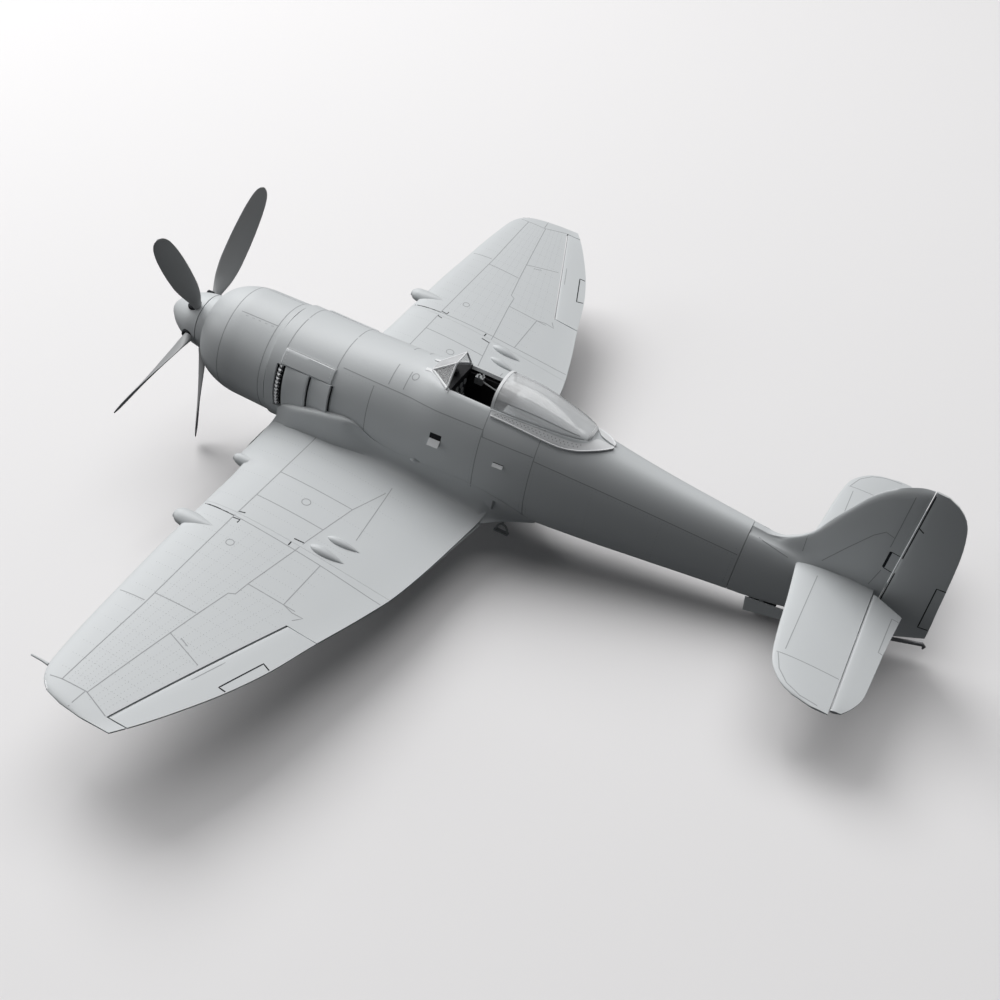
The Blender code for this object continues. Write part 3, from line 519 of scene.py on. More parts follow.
def tailSection():
    rings = []
    for y in steps(258.9, 264, 268, 284, 310.05, pitch=1.5):
        crest = max(tail["crest"](y), body["top"](y) + 0.25)
        port = bodyPoint(y, np.linspace(-84, 62, 22))
        px, base = port[-1, 0], port[-1, 2]
        f = np.concatenate([np.linspace(0.04, 0.9, 16), [0.95, 0.985, 1.0]])
        z = base + f * (crest - base)
        web = np.minimum(finHalf(y, z), px * 0.98)
        x = web + (px - web) * np.exp(-(z - base) / 1.6)
        x = np.where(f > 0.94, x * np.sqrt(np.maximum(1 - ((f - 0.94) / 0.06) ** 2, 0.02)), x)
        up = np.stack([x, np.full_like(x, y), z], -1)
        side = np.concatenate([port, up])
        rings.append(np.concatenate([side, (side * (-1, 1, 1))[::-1]]))
    obj = addPiece("tail_cone_and_fin", *loft(rings), "greyPlastic", replaces=["tail_section"], sharp=50)
    x1, y0, y1, z0, z1 = tail["bay"]
    ring = [(-x1, y0), (x1, y0), (x1, y1), (-x1, y1)]
    v, f = loft([[(x, y, z0) for x, y in ring], [(x, y, z1) for x, y in ring]])
    mesh = bpy.data.meshes.new("bayCutter")
    mesh.from_pydata([tuple(p) for p in place(v)], [], f)
    cutter = bpy.data.objects.new("bayCutter", mesh)
    bpy.context.scene.collection.objects.link(cutter)
    cut = obj.modifiers.new("bay", "BOOLEAN")
    cut.operation, cut.solver, cut.object = "DIFFERENCE", "EXACT", cutter
    made = bpy.data.meshes.new_from_object(obj.evaluated_get(bpy.context.evaluated_depsgraph_get()))
    obj.modifiers.clear()
    obj.data = made
    made.set_sharp_from_angle(angle=math.radians(50))
    bpy.data.objects.remove(cutter)


tailSection()
print("tail ready")

wing = {
    "nose": Curve((0, 66.4), (18, 66.2), (20, 65.2), (45, 66.4), (48.6, 66.8), (51.6, 70.6), (78.7, 72.1),
                  (107, 73.2), (131, 74.9), (148, 76.2), (162, 77.7), (170, 78.9), (175.5, 81.1),
                  (179.8, 86), (181.6, 92.2), (182.5, 100)),
    "tail": Curve((0, 162.8), (18, 162), (28.6, 160.6), (62, 156.4), (74.3, 154.3), (93.6, 149.4),
                  (115.2, 142.9), (132.8, 138), (149, 131.6), (163, 124.4), (175.6, 116.9), (182.5, 112)),
    "upper": Curve((20, 6.3), (50, 5.2), (80, 4.1), (130, 2.9), (170, 1.8), (180, 1.0), (182.5, 0.35)),
    "lower": Curve((20, 6.8), (50, 5.6), (80, 4.4), (130, 3.0), (170, 1.9), (180, 1.1), (182.5, 0.4)),
    "hinge": Curve((0, 142.4), (20, 139.8), (79, 131.9), (112.6, 128.2)),
    "lift": Curve((20, 1.0), (23.5, 0.36), (28, 0.08), (38, 0.0)),
    "fold": 79.0, "aileron": (113.0, 178.0), "tip": 182.5,
    "chord": (0, 0.0015, 0.005, 0.011, 0.02, 0.035, 0.055, 0.08, 0.11, 0.15, 0.2, 0.26, 0.33, 0.41, 0.5,
              0.6, 0.7,
              0.8, 0.9, 1.0),
    "rear": (0.25, 0.5, 0.75, 1.0),
}


def chordZ(x, y):
    x = abs(x)
    return -13.0 + (x - 80.6) * 0.0564 - 0.05 * min(1.0, max(0.0, 1.0 - (x - 80) / 100.0)) * (y - 72.0)


def wingHeight(x, y, upper):
    nose, tailY = wing["nose"](x), wing["tail"](x)
    t = (np.asarray(y, float) - nose) / (tailY - nose)
    h = wing["upper" if upper else "lower"](x) * airfoil(t)
    return np.where(t > 0.5, np.maximum(h, 0.32), h)


def rearLine(x):
    x = abs(x)
    return wing["hinge"](x) if x < 112.6 else 107.6 + 0.359 * (178.4 - min(x, 178.4))


def wingColumns(x):
    nose, tailY, mid = wing["nose"](x), wing["tail"](x), rearLine(x)
    return np.array([nose + f * (mid - nose) for f in wing["chord"]]
                    + [mid + f * (tailY - mid) for f in wing["rear"]])


def wingSkin(name, node, stations, upper, sign, present, root=False):
    outer, inner = [], []
    s = 1 if upper else -1
    for x in stations:
        ys = wingColumns(x)
        h = wingHeight(x, ys, upper)
        zc = np.array([chordZ(x, y) for y in ys])
        px = np.full_like(ys, x)
        if root:
            start = np.array([rootX(y) - 0.25 for y in ys])
            px = start + (x - 20.0) / (wing["fold"] - 0.04 - 20.0) * (wing["fold"] - 0.04 - start)
            h = h + np.maximum(0, body["filletZ"](ys) - (zc + h)) * wing["lift"](x)
        outer.append(np.stack([px, ys, zc + s * h], -1))
        inner.append(np.stack([px, ys, zc + s * np.minimum(0.02, h * 0.5)], -1))
    addHalf(name, cellShell(outer, inner, present), sign, "greyPlastic", replaces=[node], sharp=30)


def innerLower():
    half = steps(0, 21, 48.6, 51.6, wing["fold"] - 0.04, pitch=1.6)
    xs = [-x for x in half[:0:-1]] + half
    outer, inner = [], []
    for x in xs:
        ys = wingColumns(abs(x))
        zc = np.array([chordZ(x, y) for y in ys])
        low = zc - wingHeight(max(abs(x), 20), ys, False)
        t = min(abs(x) / 24.0, 1.0)
        t = t * t * (3 - 2 * t)
        z = body["keel"](ys) * (1 - t) + low * t
        px = np.full_like(ys, x)
        outer.append(np.stack([px, ys, z], -1))
        inner.append(np.stack([px, ys, np.where(abs(x) < 19, z + 1.2, np.maximum(zc - 0.02, z + 0.01))], -1))
    last = len(wing["chord"]) - 1
    verts, faces = cellShell(outer, inner, lambda i, j: j < last or 0.5 * abs(xs[i] + xs[i + 1]) < 21.0)
    addPiece("centre_wing_underside", verts, faces, "greyPlastic", replaces=["inner_wing_lower"], sharp=30)


def controlRing(nose, tailP, halfNose, halfTail, up, reach, belly=0.0):
    n, t, u = (np.array(k, float) for k in (nose, tailP, up))
    d = (t - n) / np.linalg.norm(t - n)
    ring = []
    for a in np.linspace(90, -90, 15):
        r = math.radians(a)
        c, s = abs(math.cos(r)) ** 0.5, math.copysign(abs(math.sin(r)) ** 0.5, math.sin(r))
        ring.append(n - d * reach * c + u * halfNose * s)
    for f in (0.3, 0.6, 0.85, 1.0):
        ring.append(n + (t - n) * f - u * (halfNose + (halfTail - halfNose) * (f - belly * f * (1 - f))))
    for f in (1.0, 0.85, 0.6, 0.3):
        ring.append(n + (t - n) * f + u * (halfNose + (halfTail - halfNose) * (f - belly * f * (1 - f))))
    return ring


def aileron(name, sign):
    rings = []
    for x in steps(wing["aileron"][0] + 0.3, 170, wing["aileron"][1] - 0.1, pitch=2.5):
        y = rearLine(x) + 1.9
        half = 0.5 * float(wingHeight(x, y, True) + wingHeight(x, y, False))
        tailY = wing["tail"](x)
        rings.append(controlRing((x, y, chordZ(x, y)), (x, tailY, chordZ(x, tailY)), half, 0.3, (0, 0, 1),
                                 1.5, 0.15))
    addHalf(name, loft(rings), sign, "greyPlastic", replaces=[name.replace("skin_", "")])


def flap(name, node, sign, x0, x1):
    rings = []
    for x in steps(x0, x1, pitch=3):
        front, rear = rearLine(x) + 0.4, wing["tail"](x) - 0.2
        ys = np.linspace(front, rear, 8)
        zc = np.array([chordZ(x, y) for y in ys])
        up = np.stack([np.full(8, x), ys, zc - 0.45], -1)
        low = np.stack([np.full(8, x), ys, zc - np.maximum(wingHeight(x, ys, False), 0.9)], -1)
        rings.append(np.concatenate([up, low[::-1]]))
    addHalf(name, loft(rings), sign, "greyPlastic", replaces=[node])


last = len(wing["chord"]) - 1
for side, sign in sides:
    xs = steps(20, 28, 48.6, 51.6, wing["fold"] - 0.04, pitch=1.6)
    wingSkin("inner_wing_top_" + side, "inner_wing_upper_" + side, xs, True, sign, everyCell, True)
    xs = steps(wing["fold"] + 0.04, 112.4, 113.0, 170, 178.0, 178.3, 181.6, wing["tip"], pitch=1.8)
    for upper, word in ((True, "upper"), (False, "lower")):
        def kept(i, j):
            mid = 0.5 * (xs[i] + xs[i + 1])
            return j < last or (upper and mid < 112.4) or 112.4 < mid < 113.0 or mid > 178.2
        wingSkin("outer_wing_%s_skin_%s" % (word, side), "outer_wing_%s_%s" % (word, side), xs, upper, sign,
                 kept)
    aileron("skin_aileron_" + side, sign)
    flap("inner_flap_skin_" + side, "inner_flap_" + side, sign, 21.5, 78.4)
    flap("outer_flap_skin_" + side, "outer_flap_" + side, sign, 79.6, 112.0)
innerLower()
print("wing ready")

stab = {
    "nose": Curve((0, 278), (23, 280.6), (40, 282.1), (53, 284.1), (60, 288.1), (64.3, 294.3), (65.8, 301)),
    "tail": Curve((0, 320.2), (8, 319.7), (27, 318), (40.5, 317.2), (52.3, 316.4), (59.5, 313.8),
                  (63.6, 311)),
    "half": Curve((5, 1.9), (50, 1.25), (62, 0.9), (65.8, 0.45)),
    "rear": 307.2, "axis": 309.3, "reach": 1.6, "z": 13.6,
}
rudderTable = {
    "front": Curve((-6.4, 331.2), (2, 331.2), (8, 330.9), (15.8, 330.2), (28.6, 329.2), (43.5, 327.7),
                   (53.5, 325.5), (57.8, 323.6), (62, 319.6), (64.4, 315)),
    "half": Curve((-6.4, 1.5), (5, 1.8), (15.8, 1.8), (28.6, 1.7), (43.5, 1.5), (53.5, 1.3), (58.6, 1.1),
                  (62.6, 0.8), (64.6, 0.45)),
    "axis": 312.3, "reach": 1.9,
}


def stabiliser(side, sign):
    rings = []
    f = np.array([0, 0.004, 0.015, 0.035, 0.07, 0.12, 0.19, 0.28, 0.4, 0.55, 0.7, 0.85, 1.0])
    for x in steps(4, 53, 60, 64.3, 65.8, pitch=1.8):
        nose = stab["nose"](x)
        ys = nose + f * (stab["rear"] + 0.2 - nose)
        base = np.array([float(sidePoint(y, stab["z"])[0]) - 0.4 for y in ys])
        px = base + (x - 4.0) / 61.8 * (65.8 - base)
        h = stab["half"](x) * airfoil(0.75 * f)
        top = np.stack([px, ys, stab["z"] + h], -1)
        low = np.stack([px, ys, stab["z"] - h], -1)
        rings.append(np.concatenate([top, low[:0:-1]]))
    addHalf("stabiliser_" + side, loft(rings), sign, "greyPlastic", replaces=["tailplane_" + side])
    rings = []
    for x in steps(4.6, 52.3, 59.5, 63.6, pitch=2):
        xt = x + 3.6 * max(0, 1 - (x - 4.6) / 20.0) - (0.4 if x > 62 else 0)
        rings.append(controlRing((x, stab["axis"], stab["z"]), (xt, stab["tail"](xt), stab["z"]),
                                 0.78 * stab["half"](x), 0.25, (0, 0, 1), stab["reach"], 0.15))
    addHalf("elevator_skin_" + side, loft(rings), sign, "greyPlastic", replaces=["elevator_" + side])


def rudder():
    rings = []
    lower = Curve((-6.4, 2.0), (5, 8), (15.8, 15.8), (53.5, 53.5), (58.6, 57.8), (64.6, 64.4))
    for z in steps(-6.4, 5, 53.5, 64.6, pitch=2):
        zt = lower(z)
        rings.append(controlRing((0, rudderTable["axis"], z), (0, rudderTable["front"](zt), zt),
                                 rudderTable["half"](z), 0.3, (1, 0, 0), rudderTable["reach"], 0.15))
    addPiece("rudder_skin", *loft(rings), "greyPlastic", replaces=["rudder"])


for side, sign in sides:
    stabiliser(side, sign)
rudder()
print("tail surfaces ready")

cowl = {"front": 23.5, "shoulder": 42.0, "rear": 60.2, "lip": 14.0, "radius": 23.1, "wall": 1.2, "power": 1.8,
        "joint": 37.2}


def cowlRadius(y):
    f = np.clip((y - cowl["front"]) / (cowl["shoulder"] - cowl["front"]), 0, 1)
    r = cowl["lip"] + (cowl["radius"] - cowl["lip"]) * (1 - (1 - f) ** cowl["power"]) ** (1 / cowl["power"])
    return float(r + 0.4 * np.clip((y - cowl["shoulder"]) / (cowl["rear"] - cowl["shoulder"]), 0, 1))


ys = [23.5, 23.53, 23.6, 23.75, 24, 24.4, 24.9, 25.6] + steps(26.4, 42, 60.2, pitch=1.3)
profile = [(y, cowlRadius(y)) for y in ys]
profile += [(y + (0.9 if r < 19 else 0.0), r - cowl["wall"]) for y, r in profile[::-1]]
addPiece("cowling", *lathe(profile, (0, 0, 0), (0, 1, 0), 128, ring=True), "greyPlastic",
         replaces=["cowl_ring"])

spin = {"dome": Curve((0, 0.0), (0.35, 1.6), (2.2, 4.2), (5.5, 7.3), (9.5, 9.7), (14, 11.3), (18.2, 12))}
ys = [0.004, 0.02, 0.08, 0.2, 0.4, 0.8, 1.4] + steps(2.2, 18.2, pitch=0.8)
profile = [(y, spin["dome"](y)) for y in ys] + [(18.2, 0)]
addPiece("spinner_dome", *lathe(profile, (0, 0, 0), (0, 1, 0), 96), "greyPlastic", replaces=["spinner"])
profile = [(18.5, 0), (18.5, 11.85), (18.6, 12.0), (22.2, 12.25), (22.4, 12.1), (22.4, 0)]
addPiece("spinner_plate", *lathe(profile, (0, 0, 0), (0, 1, 0), 96), "greyPlastic",
         replaces=["spinner_backplate"])
profile = [(22.7, 0), (22.7, 2.2), (24.3, 2.2), (24.3, 0)]
addPiece("prop_shaft", *lathe(profile, (0, 0, 0), (0, 1, 0), 32), "hookMetal", replaces=["propeller_shaft"])

blade = {
    "half": Curve((12.5, 2.0), (15.5, 2.9), (20, 4.0), (28, 4.9), (38, 5.1), (48, 4.8), (55, 4.0),
                  (58.5, 3.0), (60.2, 1.8), (60.9, 0.5)),
    "thick": Curve((12.5, 2.0), (15.5, 1.6), (20, 0.95), (28, 0.75), (38, 0.6), (48, 0.5), (55, 0.42),
                   (60.9, 0.2)),
    "pitch": Curve((12.5, 62), (15.5, 58), (20, 52), (28, 44), (38, 37), (48, 31), (55, 28), (60.9, 26)),
    "axisY": 15.2, "phase": -10.4, "count": 5,
}
# blades take the grey plastic painted darker, as painted shade
for b in range(blade["count"]):
    phi = math.radians(blade["phase"] + 72.0 * (b - 1))
    u = np.array((math.cos(phi), 0, math.sin(phi)))
    t = np.array((-math.sin(phi), 0, math.cos(phi)))
    rings = []
    for r in steps(10.2, 12.5, 55, 59, 60.2, 60.9, pitch=1.4):
        p = math.radians(blade["pitch"](r))
        c = math.cos(p) * t + math.sin(p) * np.array((0, 1.0, 0))
        n = np.cross(u, c)
        a = around(28)
        lens = np.sign(np.sin(a)) * np.abs(np.sin(a)) ** 1.25
        rings.append(u * r + (0, blade["axisY"], 0) + np.outer(np.cos(a) * blade["half"](r), c)
                     + np.outer(lens * blade["thick"](r), n))
    addPiece("prop_blade_%d" % (b + 1), *loft(rings), "bladePlastic", replaces=["blade_%d" % (b + 1)],
             sharp=60)
    rings = []
    for r, grow in ((8.6, 1.0), (11.15, 1.0), (11.9, 0.86)):
        a = around(32)
        p = math.radians(62)
        c = math.cos(p) * t + math.sin(p) * np.array((0, 1.0, 0))
        n = np.cross(u, c)
        rings.append(u * r + (0, 14.2, 0) + np.outer(np.cos(a) * 3.1 * grow, c)
                     + np.outer(np.sin(a) * 2.5 * grow, n))
    addPiece("blade_root_opening_%d" % (b + 1), *loft(rings), "deepShade", body="propeller")
print("nose ready")


def ribbon(spots, width, lift):
    pts = np.array([s[0] for s in spots])
    way = np.gradient(pts, axis=0)
    rows = []
    for (p, n), d in zip(spots, way):
        side = np.cross(n, d)
        side /= max(np.linalg.norm(side), 1e-9)
        rows.append([p + side * width / 2 + n * lift, p - side * width / 2 + n * lift,
                     p - side * width / 2 - n * 0.2, p + side * width / 2 - n * 0.2])
    return loft(rows)


def along(line, pitch):
    out = []
    for a, b in zip(line[:-1], line[1:]):
        n = max(1, int(math.dist(a, b) / pitch))
        out += [(a[0] + (b[0] - a[0]) * k / n, a[1] + (b[1] - a[1]) * k / n) for k in range(n)]
    return out + [line[-1]]


def skinSpots(tree, line, sign, pitch=1.6, axis=2):
    # from above for axis 2, from the side that sign names for axis 0
    others = [k for k in range(3) if k != axis]
    facing = sign if axis == 0 else 1
    spots = []
    for u, v in along(line, pitch):
        point = [0.0, 0.0, 0.0]
        point[others[0]], point[others[1]] = u * (sign if others[0] == 0 else 1), v
        met = landOn(tree, point, axis, facing)
        if met:
            spots.append(met)
    return spots


def bodySpot(y, theta, sign):
    t = np.array([min(max(theta, -89), 89.2)])
    p = bodyPoint(y, t)[0]
    a = bodyPoint(y, t + 0.6)[0] - bodyPoint(y, t - 0.6)[0]
    b = bodyPoint(y + 0.6, t)[0] - bodyPoint(y - 0.6, t)[0]
    n = np.cross(a, b)
    n /= max(np.linalg.norm(n), 1e-9)
    if n[0] * p[0] + n[2] * p[2] < 0:
        n = -n
    return p * (sign, 1, 1), n * (sign, 1, 1)


def sideSpot(y, z, sign):
    return bodySpot(y, angleAtZ(y, z), sign)


def bodySpots(line, sign, pitch=1.6):
    # line of (station, height) on the fuselage side
    return [sideSpot(y, z, sign) for y, z in along(line, pitch)]


def sidePatch(ys, zs, sign, proud, sink):
    # plate on the fuselage side: proud takes the station and the row number
    top, low = [], []
    for y in ys:
        met = [sideSpot(y, z, sign) for z in zs]
        top.append([p + n * proud(y, k) for k, (p, n) in enumerate(met)])
        low.append([p - n * sink for p, n in met])
    return cellShell(top, low)


def ringSpots(y, low, high, sign):
    return [bodySpot(y, t, sign) for t in np.linspace(low, high, 40)]


# strip laid along the skin: painted groove shade by default, painted highlight where a light finish is given
def paintedShadeAndLightStrip(name, runs, bodyName, width=0.34, finish="grooveShade", lift=0.03):
    parts = [ribbon(r, width, lift) for r in runs if len(r) > 1]
    if parts:
        return addPiece(name, *joined(*parts), finish, bodyName, sharp=25)


# panel lines landed on a skin as strips of painted shade
def scribe(name, tree, lines, sign, bodyName, pitch=1.6, axis=2, **look):
    return paintedShadeAndLightStrip(name, [skinSpots(tree, line, sign, pitch, axis) for line in lines], bodyName, **look)


def dots(name, spots, radius, finish, bodyName, lift=0.05, every=1):
    verts, faces = [], []
    for p, n in spots[::every]:
        ref = np.cross(n, (0.3, 0.9, 0.2))
        ref /= np.linalg.norm(ref)
        up = np.cross(n, ref)
        base = len(verts)
        for shrink, rise in ((1.0, -0.15), (1.0, lift * 0.5), (0.6, lift)):
            verts += [p + (ref * math.cos(k * math.pi / 3) + up * math.sin(k * math.pi / 3)) * radius * shrink
                      + n * rise for k in range(6)]
        for m in (0, 6):
            faces += [(base + m + k, base + m + (k + 1) % 6, base + m + 6 + (k + 1) % 6, base + m + 6 + k)
                      for k in range(6)]
        faces += [tuple(base + 12 + k for k in range(6)), tuple(base + k for k in range(6))[::-1]]
    return addPiece(name, verts, faces, finish, bodyName, sharp=60)


def circle(x, y, r, n=24):
    return [(x + r * math.cos(2 * math.pi * k / n), y + r * math.sin(2 * math.pi * k / n))
            for k in range(n + 1)]


gunFairing = {
    "wide": Curve((0, 0.5), (0.5, 0.55), (1.6, 0.8), (4, 0.97), (7, 1.0), (12, 0.8), (19, 0.2)),
    "tall": Curve((0, 0.45), (0.5, 0.55), (1.6, 0.78), (4, 0.94), (8, 1.05), (13, 1.1), (19, 1.08)),
}
wingLines = {
    "panel": [
        [(22, 87.4), (82, 86.9), (100, 87.2), (134, 87.9), (174.6, 87.4)],
        [(174.4, 97.1), (128.8, 104.7), (113.8, 107.5), (112.6, 109.6), (105.8, 110.3), (82.9, 114),
         (75.7, 114.9),
         (50.2, 119.7), (34, 125)],
        [(175.2, 81.4), (174.4, 87.3), (174.2, 96.8), (178.2, 107.3)],
        [(80.4, 73.6), (81.4, 101), (82.0, 125.2), (83.2, 151.6)],
        [(82, 125.2), (106, 125.2)], [(106, 110.4), (106, 130.0)],
        [(106, 125.2), (107.2, 129.4), (106.9, 133.8), (110.1, 131.4)],
        [(133.4, 77.0), (133.2, 87.1)], [(128.6, 87.8), (127.9, 104.4)], [(139.9, 102.6), (145.5, 118.0)],
        [(139.7, 107.0), (141.2, 110.7)], [(174.5, 96.4), (181.4, 95.6)],
        [(50.8, 87.2), (50.4, 119.6)], [(66.7, 87), (66.6, 116.6)],
        [(30, 125.6), (62.8, 128.9)],
    ],
    "dark": [
        [(78.2, 86.9), (77.4, 89.4)], [(82, 86.9), (81.6, 89.9), (83.4, 89.9)],
        [(77.1, 110.7), (81.2, 110.8)], [(77.1, 110.7), (76.6, 115.0)], [(80.6, 73.8), (81, 86.8)],
    ],
    "tab": [(148.9, 131.2), (148.7, 128.5), (131.8, 134.4), (133.0, 137.4)],
    "filler": [(93.4, 93.8, 1.5), (58.6, 104.0, 1.7)],
    "ribs": (86, 92, 98, 104, 110, 116, 122, 128, 134, 140, 146, 152, 158, 164, 170),
    "rows": (0.18, 0.36, 0.54, 0.72, 0.88), "rear": (0.2, 0.4, 0.6, 0.8),
}
for side, sign in sides:
    outerTree, innerTree = treeOf("outer_wing_upper_skin_" + side), treeOf("inner_wing_top_" + side)
    aileronTree = treeOf("skin_aileron_" + side)
    for word, tree, bodyName in (("outer", outerTree, "wing_" + side), ("inner", innerTree, "airframe")):
        runs = [skinSpots(tree, line, sign) for line in wingLines["panel"]]
        runs += [skinSpots(tree, circle(x, y, r), sign, 0.5) for x, y, r in wingLines["filler"]]
        paintedShadeAndLightStrip("%s_wing_lines_%s" % (word, side), runs, bodyName)
        scribe("%s_wing_latches_%s" % (word, side), tree, wingLines["dark"], sign, bodyName, width=0.5,
               finish="deepShade")
    scribe("aileron_tab_line_" + side, aileronTree, [wingLines["tab"]], sign, "aileron_" + side, 0.8,
           width=0.5,
           finish="deepShade")
    noseLine = [(x, rearLine(x) + 0.6) for x in steps(113.4, 177.8, pitch=2)]
    pad = [(x, rearLine(x) + d) for x, d in ((139.2, 0.6), (139.2, 2.6), (151.4, 2.6), (151.4, 0.6))]
    scribe("aileron_nose_shade_" + side, aileronTree, (noseLine, pad), sign, "aileron_" + side, width=0.3)
    spots = []
    for x in wingLines["ribs"]:
        spots += skinSpots(outerTree, [(x, wing["nose"](x) + 5), (x, rearLine(x) - 1.5)], sign, 1.25)
    for share in wingLines["rows"]:
        spots += skinSpots(outerTree, [(84, 87 + share * 27), (173, 87.5 + share * 9.8)], sign, 1.25)
    for share in wingLines["rear"]:
        spots += skinSpots(outerTree, [(108, 110 + share * 20), (176, 97.5 + share * 10.4)], sign, 1.25)
    dots("wing_rivets_" + side, spots, 0.13, "grooveShade", "wing_" + side, lift=0.03)
    spots = []
    for x in (34, 44, 57, 72):
        spots += skinSpots(innerTree, [(x, 73), (x, rearLine(x) - 2)], sign, 1.25)
    dots("root_rivets_" + side, spots, 0.12, "grooveShade", "airframe", lift=0.03)

    # hinge blisters: a wide and a narrow one side by side
    for word, a, b, half, high in (("outer", (76.1, 117.0), (75.6, 131.4), 2.05, 1.75),
                                   ("inner", (68.3, 119.8), (67.1, 133.2), 1.75, 1.5)):
        f = np.linspace(0, 1, 22)
        base = [landOn(innerTree, ((a[0] + (b[0] - a[0]) * t) * sign, a[1] + (b[1] - a[1]) * t, 0), 2,
                       1)[0] for t in f]
        swell = np.sin(np.pi * np.clip(f, 0.004, 0.996) ** 0.72) ** 0.8
        addPiece("hinge_blister_%s_%s" % (word, side),
                 *teardrop(base, half * swell, high * swell ** 1.1, 0.5),
                 "greyPlastic", "airframe", sharp=60)

    # leading-edge fairings
    for word, x, y0, wide, tall, bodyName in (("outboard", 90.0, 67.3, 3.8, 3.1, "wing_" + side),
                                              ("inboard", 50.2, 65.7, 2.7, 2.8, "airframe")):
        rings, a = [], around(36)
        for d in steps(0, 0.5, 2, 19, pitch=0.7):
            y = y0 + d
            rings.append(np.stack([x + wide * gunFairing["wide"](d) * np.cos(a), np.full(36, y),
                                   chordZ(x, y) + tall * gunFairing["tall"](d) * np.sin(a)], -1))
        addHalf("gun_fairing_%s_%s" % (word, side), loft(rings), sign, "greyPlastic", bodyName, sharp=60)
        addHalf("gun_port_%s_%s" % (word, side),
                lathe([(-0.02, 0.0), (-0.05, 0.85), (0.3, 0.95), (0.5, 0.0)], (x, y0, chordZ(x, y0)),
                      (0, 1, 0), 24), sign, "deepShade", bodyName, sharp=60)
    rings, a = [], around(24)
    for x in steps(26, 44, pitch=1.5):
        y = wing["nose"](x) + 1.0
        s = math.sqrt(max(0.05, 1 - (abs(x - 35) / 9.2) ** 4))
        rings.append(np.stack([np.full(24, x), y + 1.15 * np.cos(a), chordZ(x, y) + 1.55 * s * np.sin(a)],
                              -1))
    addHalf("root_intake_" + side, loft(rings), sign, "deepShade", "airframe")
    v, fc = loft([[(177.2, 82.6, -8.2), (179.6, 85.4, -8.0), (178.6, 87.0, -8.0), (176.4, 85.0, -8.2)],
                  [(177.2, 82.8, -7.0), (179.6, 85.6, -7.0), (178.6, 87.0, -6.9), (176.4, 85.0, -6.9)]])
    addPiece("tip_lamp_" + side, mirrored(v, sign), fc, "clearPlastic", "wing_" + side)
root = {
    "crest": Curve((66.4, -7.5), (70, -3.6), (75, -1.4), (80.5, 0.2), (89.5, 1.9), (97, 2.7), (101, 2.2),
                   (105, 0.2), (109, -2.5), (115, -4.5), (124, -5.5), (150, -6.0), (165, -9.0),
                   (175, -14.0), (179.6, -18.6)),
    "lip": Curve((66.4, 0.6), (72, 2.0), (80, 2.6), (97, 2.4), (103, 1.4), (109, 0.4), (115, 0.0),
                 (180, 0.0)),
    "foot": Curve((66.4, 24.2), (75, 26.2), (90, 25.8), (105, 23.4), (115, 21.4), (124, 20.2), (135, 19.4),
                  (148, 19.3), (156, 20.0), (161.1, 20.8), (164, 18.6), (167.5, 15.6), (179.6, 8.2)),
    "edge": Curve((161, -20.3), (180, -20.0)), "ends": (66.5, 179.6),
}
for side, sign in sides:
    tree = treeOf("inner_wing_top_" + side)
    rings, drop = [], 0.0
    for y in steps(root["ends"][0], 161.1, root["ends"][1], pitch=1.6):
        start = sidePoint(y, root["crest"](y)) + (0.06, 0, 0)
        x = root["foot"](y)
        met = landOn(tree, (x * sign, y, 0), 2, 1) if y < 160.5 else None
        drop = met[0][2] + 0.03 if met else (drop if y < 160.5 else root["edge"](y))
        end, bulge = np.array((x, y, drop)), root["lip"](y) / 2.6
        wallZ = start[2] + 0.62 * (drop - start[2])
        wallX = float(sidePoint(y, wallZ)[0])
        hollow = (np.array((wallX + 0.3, y, wallZ)), np.array((0.55 * wallX + 0.45 * x, y, drop + 0.5)))
        ledge = (start + (root["lip"](y) * 1.25 + 0.8, 0, -0.5), end + (-0.5, 0, 0.5 * (start[2] - drop)))
        shelfEnd = start + (root["lip"](y) * 0.62, 0, -0.22 * bulge)
        c1, c2 = (h * (1 - bulge) + g * bulge for h, g in zip(hollow, ledge))
        t = np.linspace(0, 1, 17)[:, None]
        arc = shelfEnd * (1 - t) ** 3 + 3 * c1 * t * (1 - t) ** 2 + 3 * c2 * t * t * (1 - t) + end * t ** 3
        arc = np.concatenate([[start], arc])
        thin = 0.25 if y > 140 else 0.7
        lowX = float(sidePoint(y, drop - thin)[0]) if y > 163 else start[0]
        back = [end - (0.15, 0, thin), np.array((lowX - 0.9, y, drop - thin)), start - (0.9, 0, 0.3)]
        rings.append(np.concatenate([arc, back]))
    addHalf("root_fairing_" + side, loft(rings), sign, "greyPlastic", "airframe", sharp=50)
print("wing detail ready")

bodyLines = {
    "side": [[(91, 19.8), (116.7, 20.0), (153, 20.2)], [(153, 17.6), (174.6, 17.2)],
             [(175.2, 15.8), (258, 8.6)],
             [(105.6, 18.8), (105.6, -8.0)],
             [(153, 26.9), (153, -13.6)], [(175, 28.6), (175, -20)], [(153, 20.2), (153.6, 17.6)],
             [(90.2, -7.6), (90.2, 13.2)], [(176, -17), (184, -17.5), (184.6, -20.4)]],
    "rings": [(65.8, 44, 89.2), (88.6, 34, 89.2), (110.8, 50, 76), (117.2, 50, 72)],
}
cooling = {"panels": (("front", 68.5, 79.3, 0.8), ("rear", 80.0, 89.2, 1.1)), "gap": 0.35}
strake = {"stations": (65.9, 66.2, 88.6, 88.9), "heights": (13.3, 13.6, 14.8, 16.0, 17.2, 18.1, 18.4)}
stubs = {"count": 11, "top": 12.1, "pitch": 1.66, "skin": 23.35, "recess": 21.9}
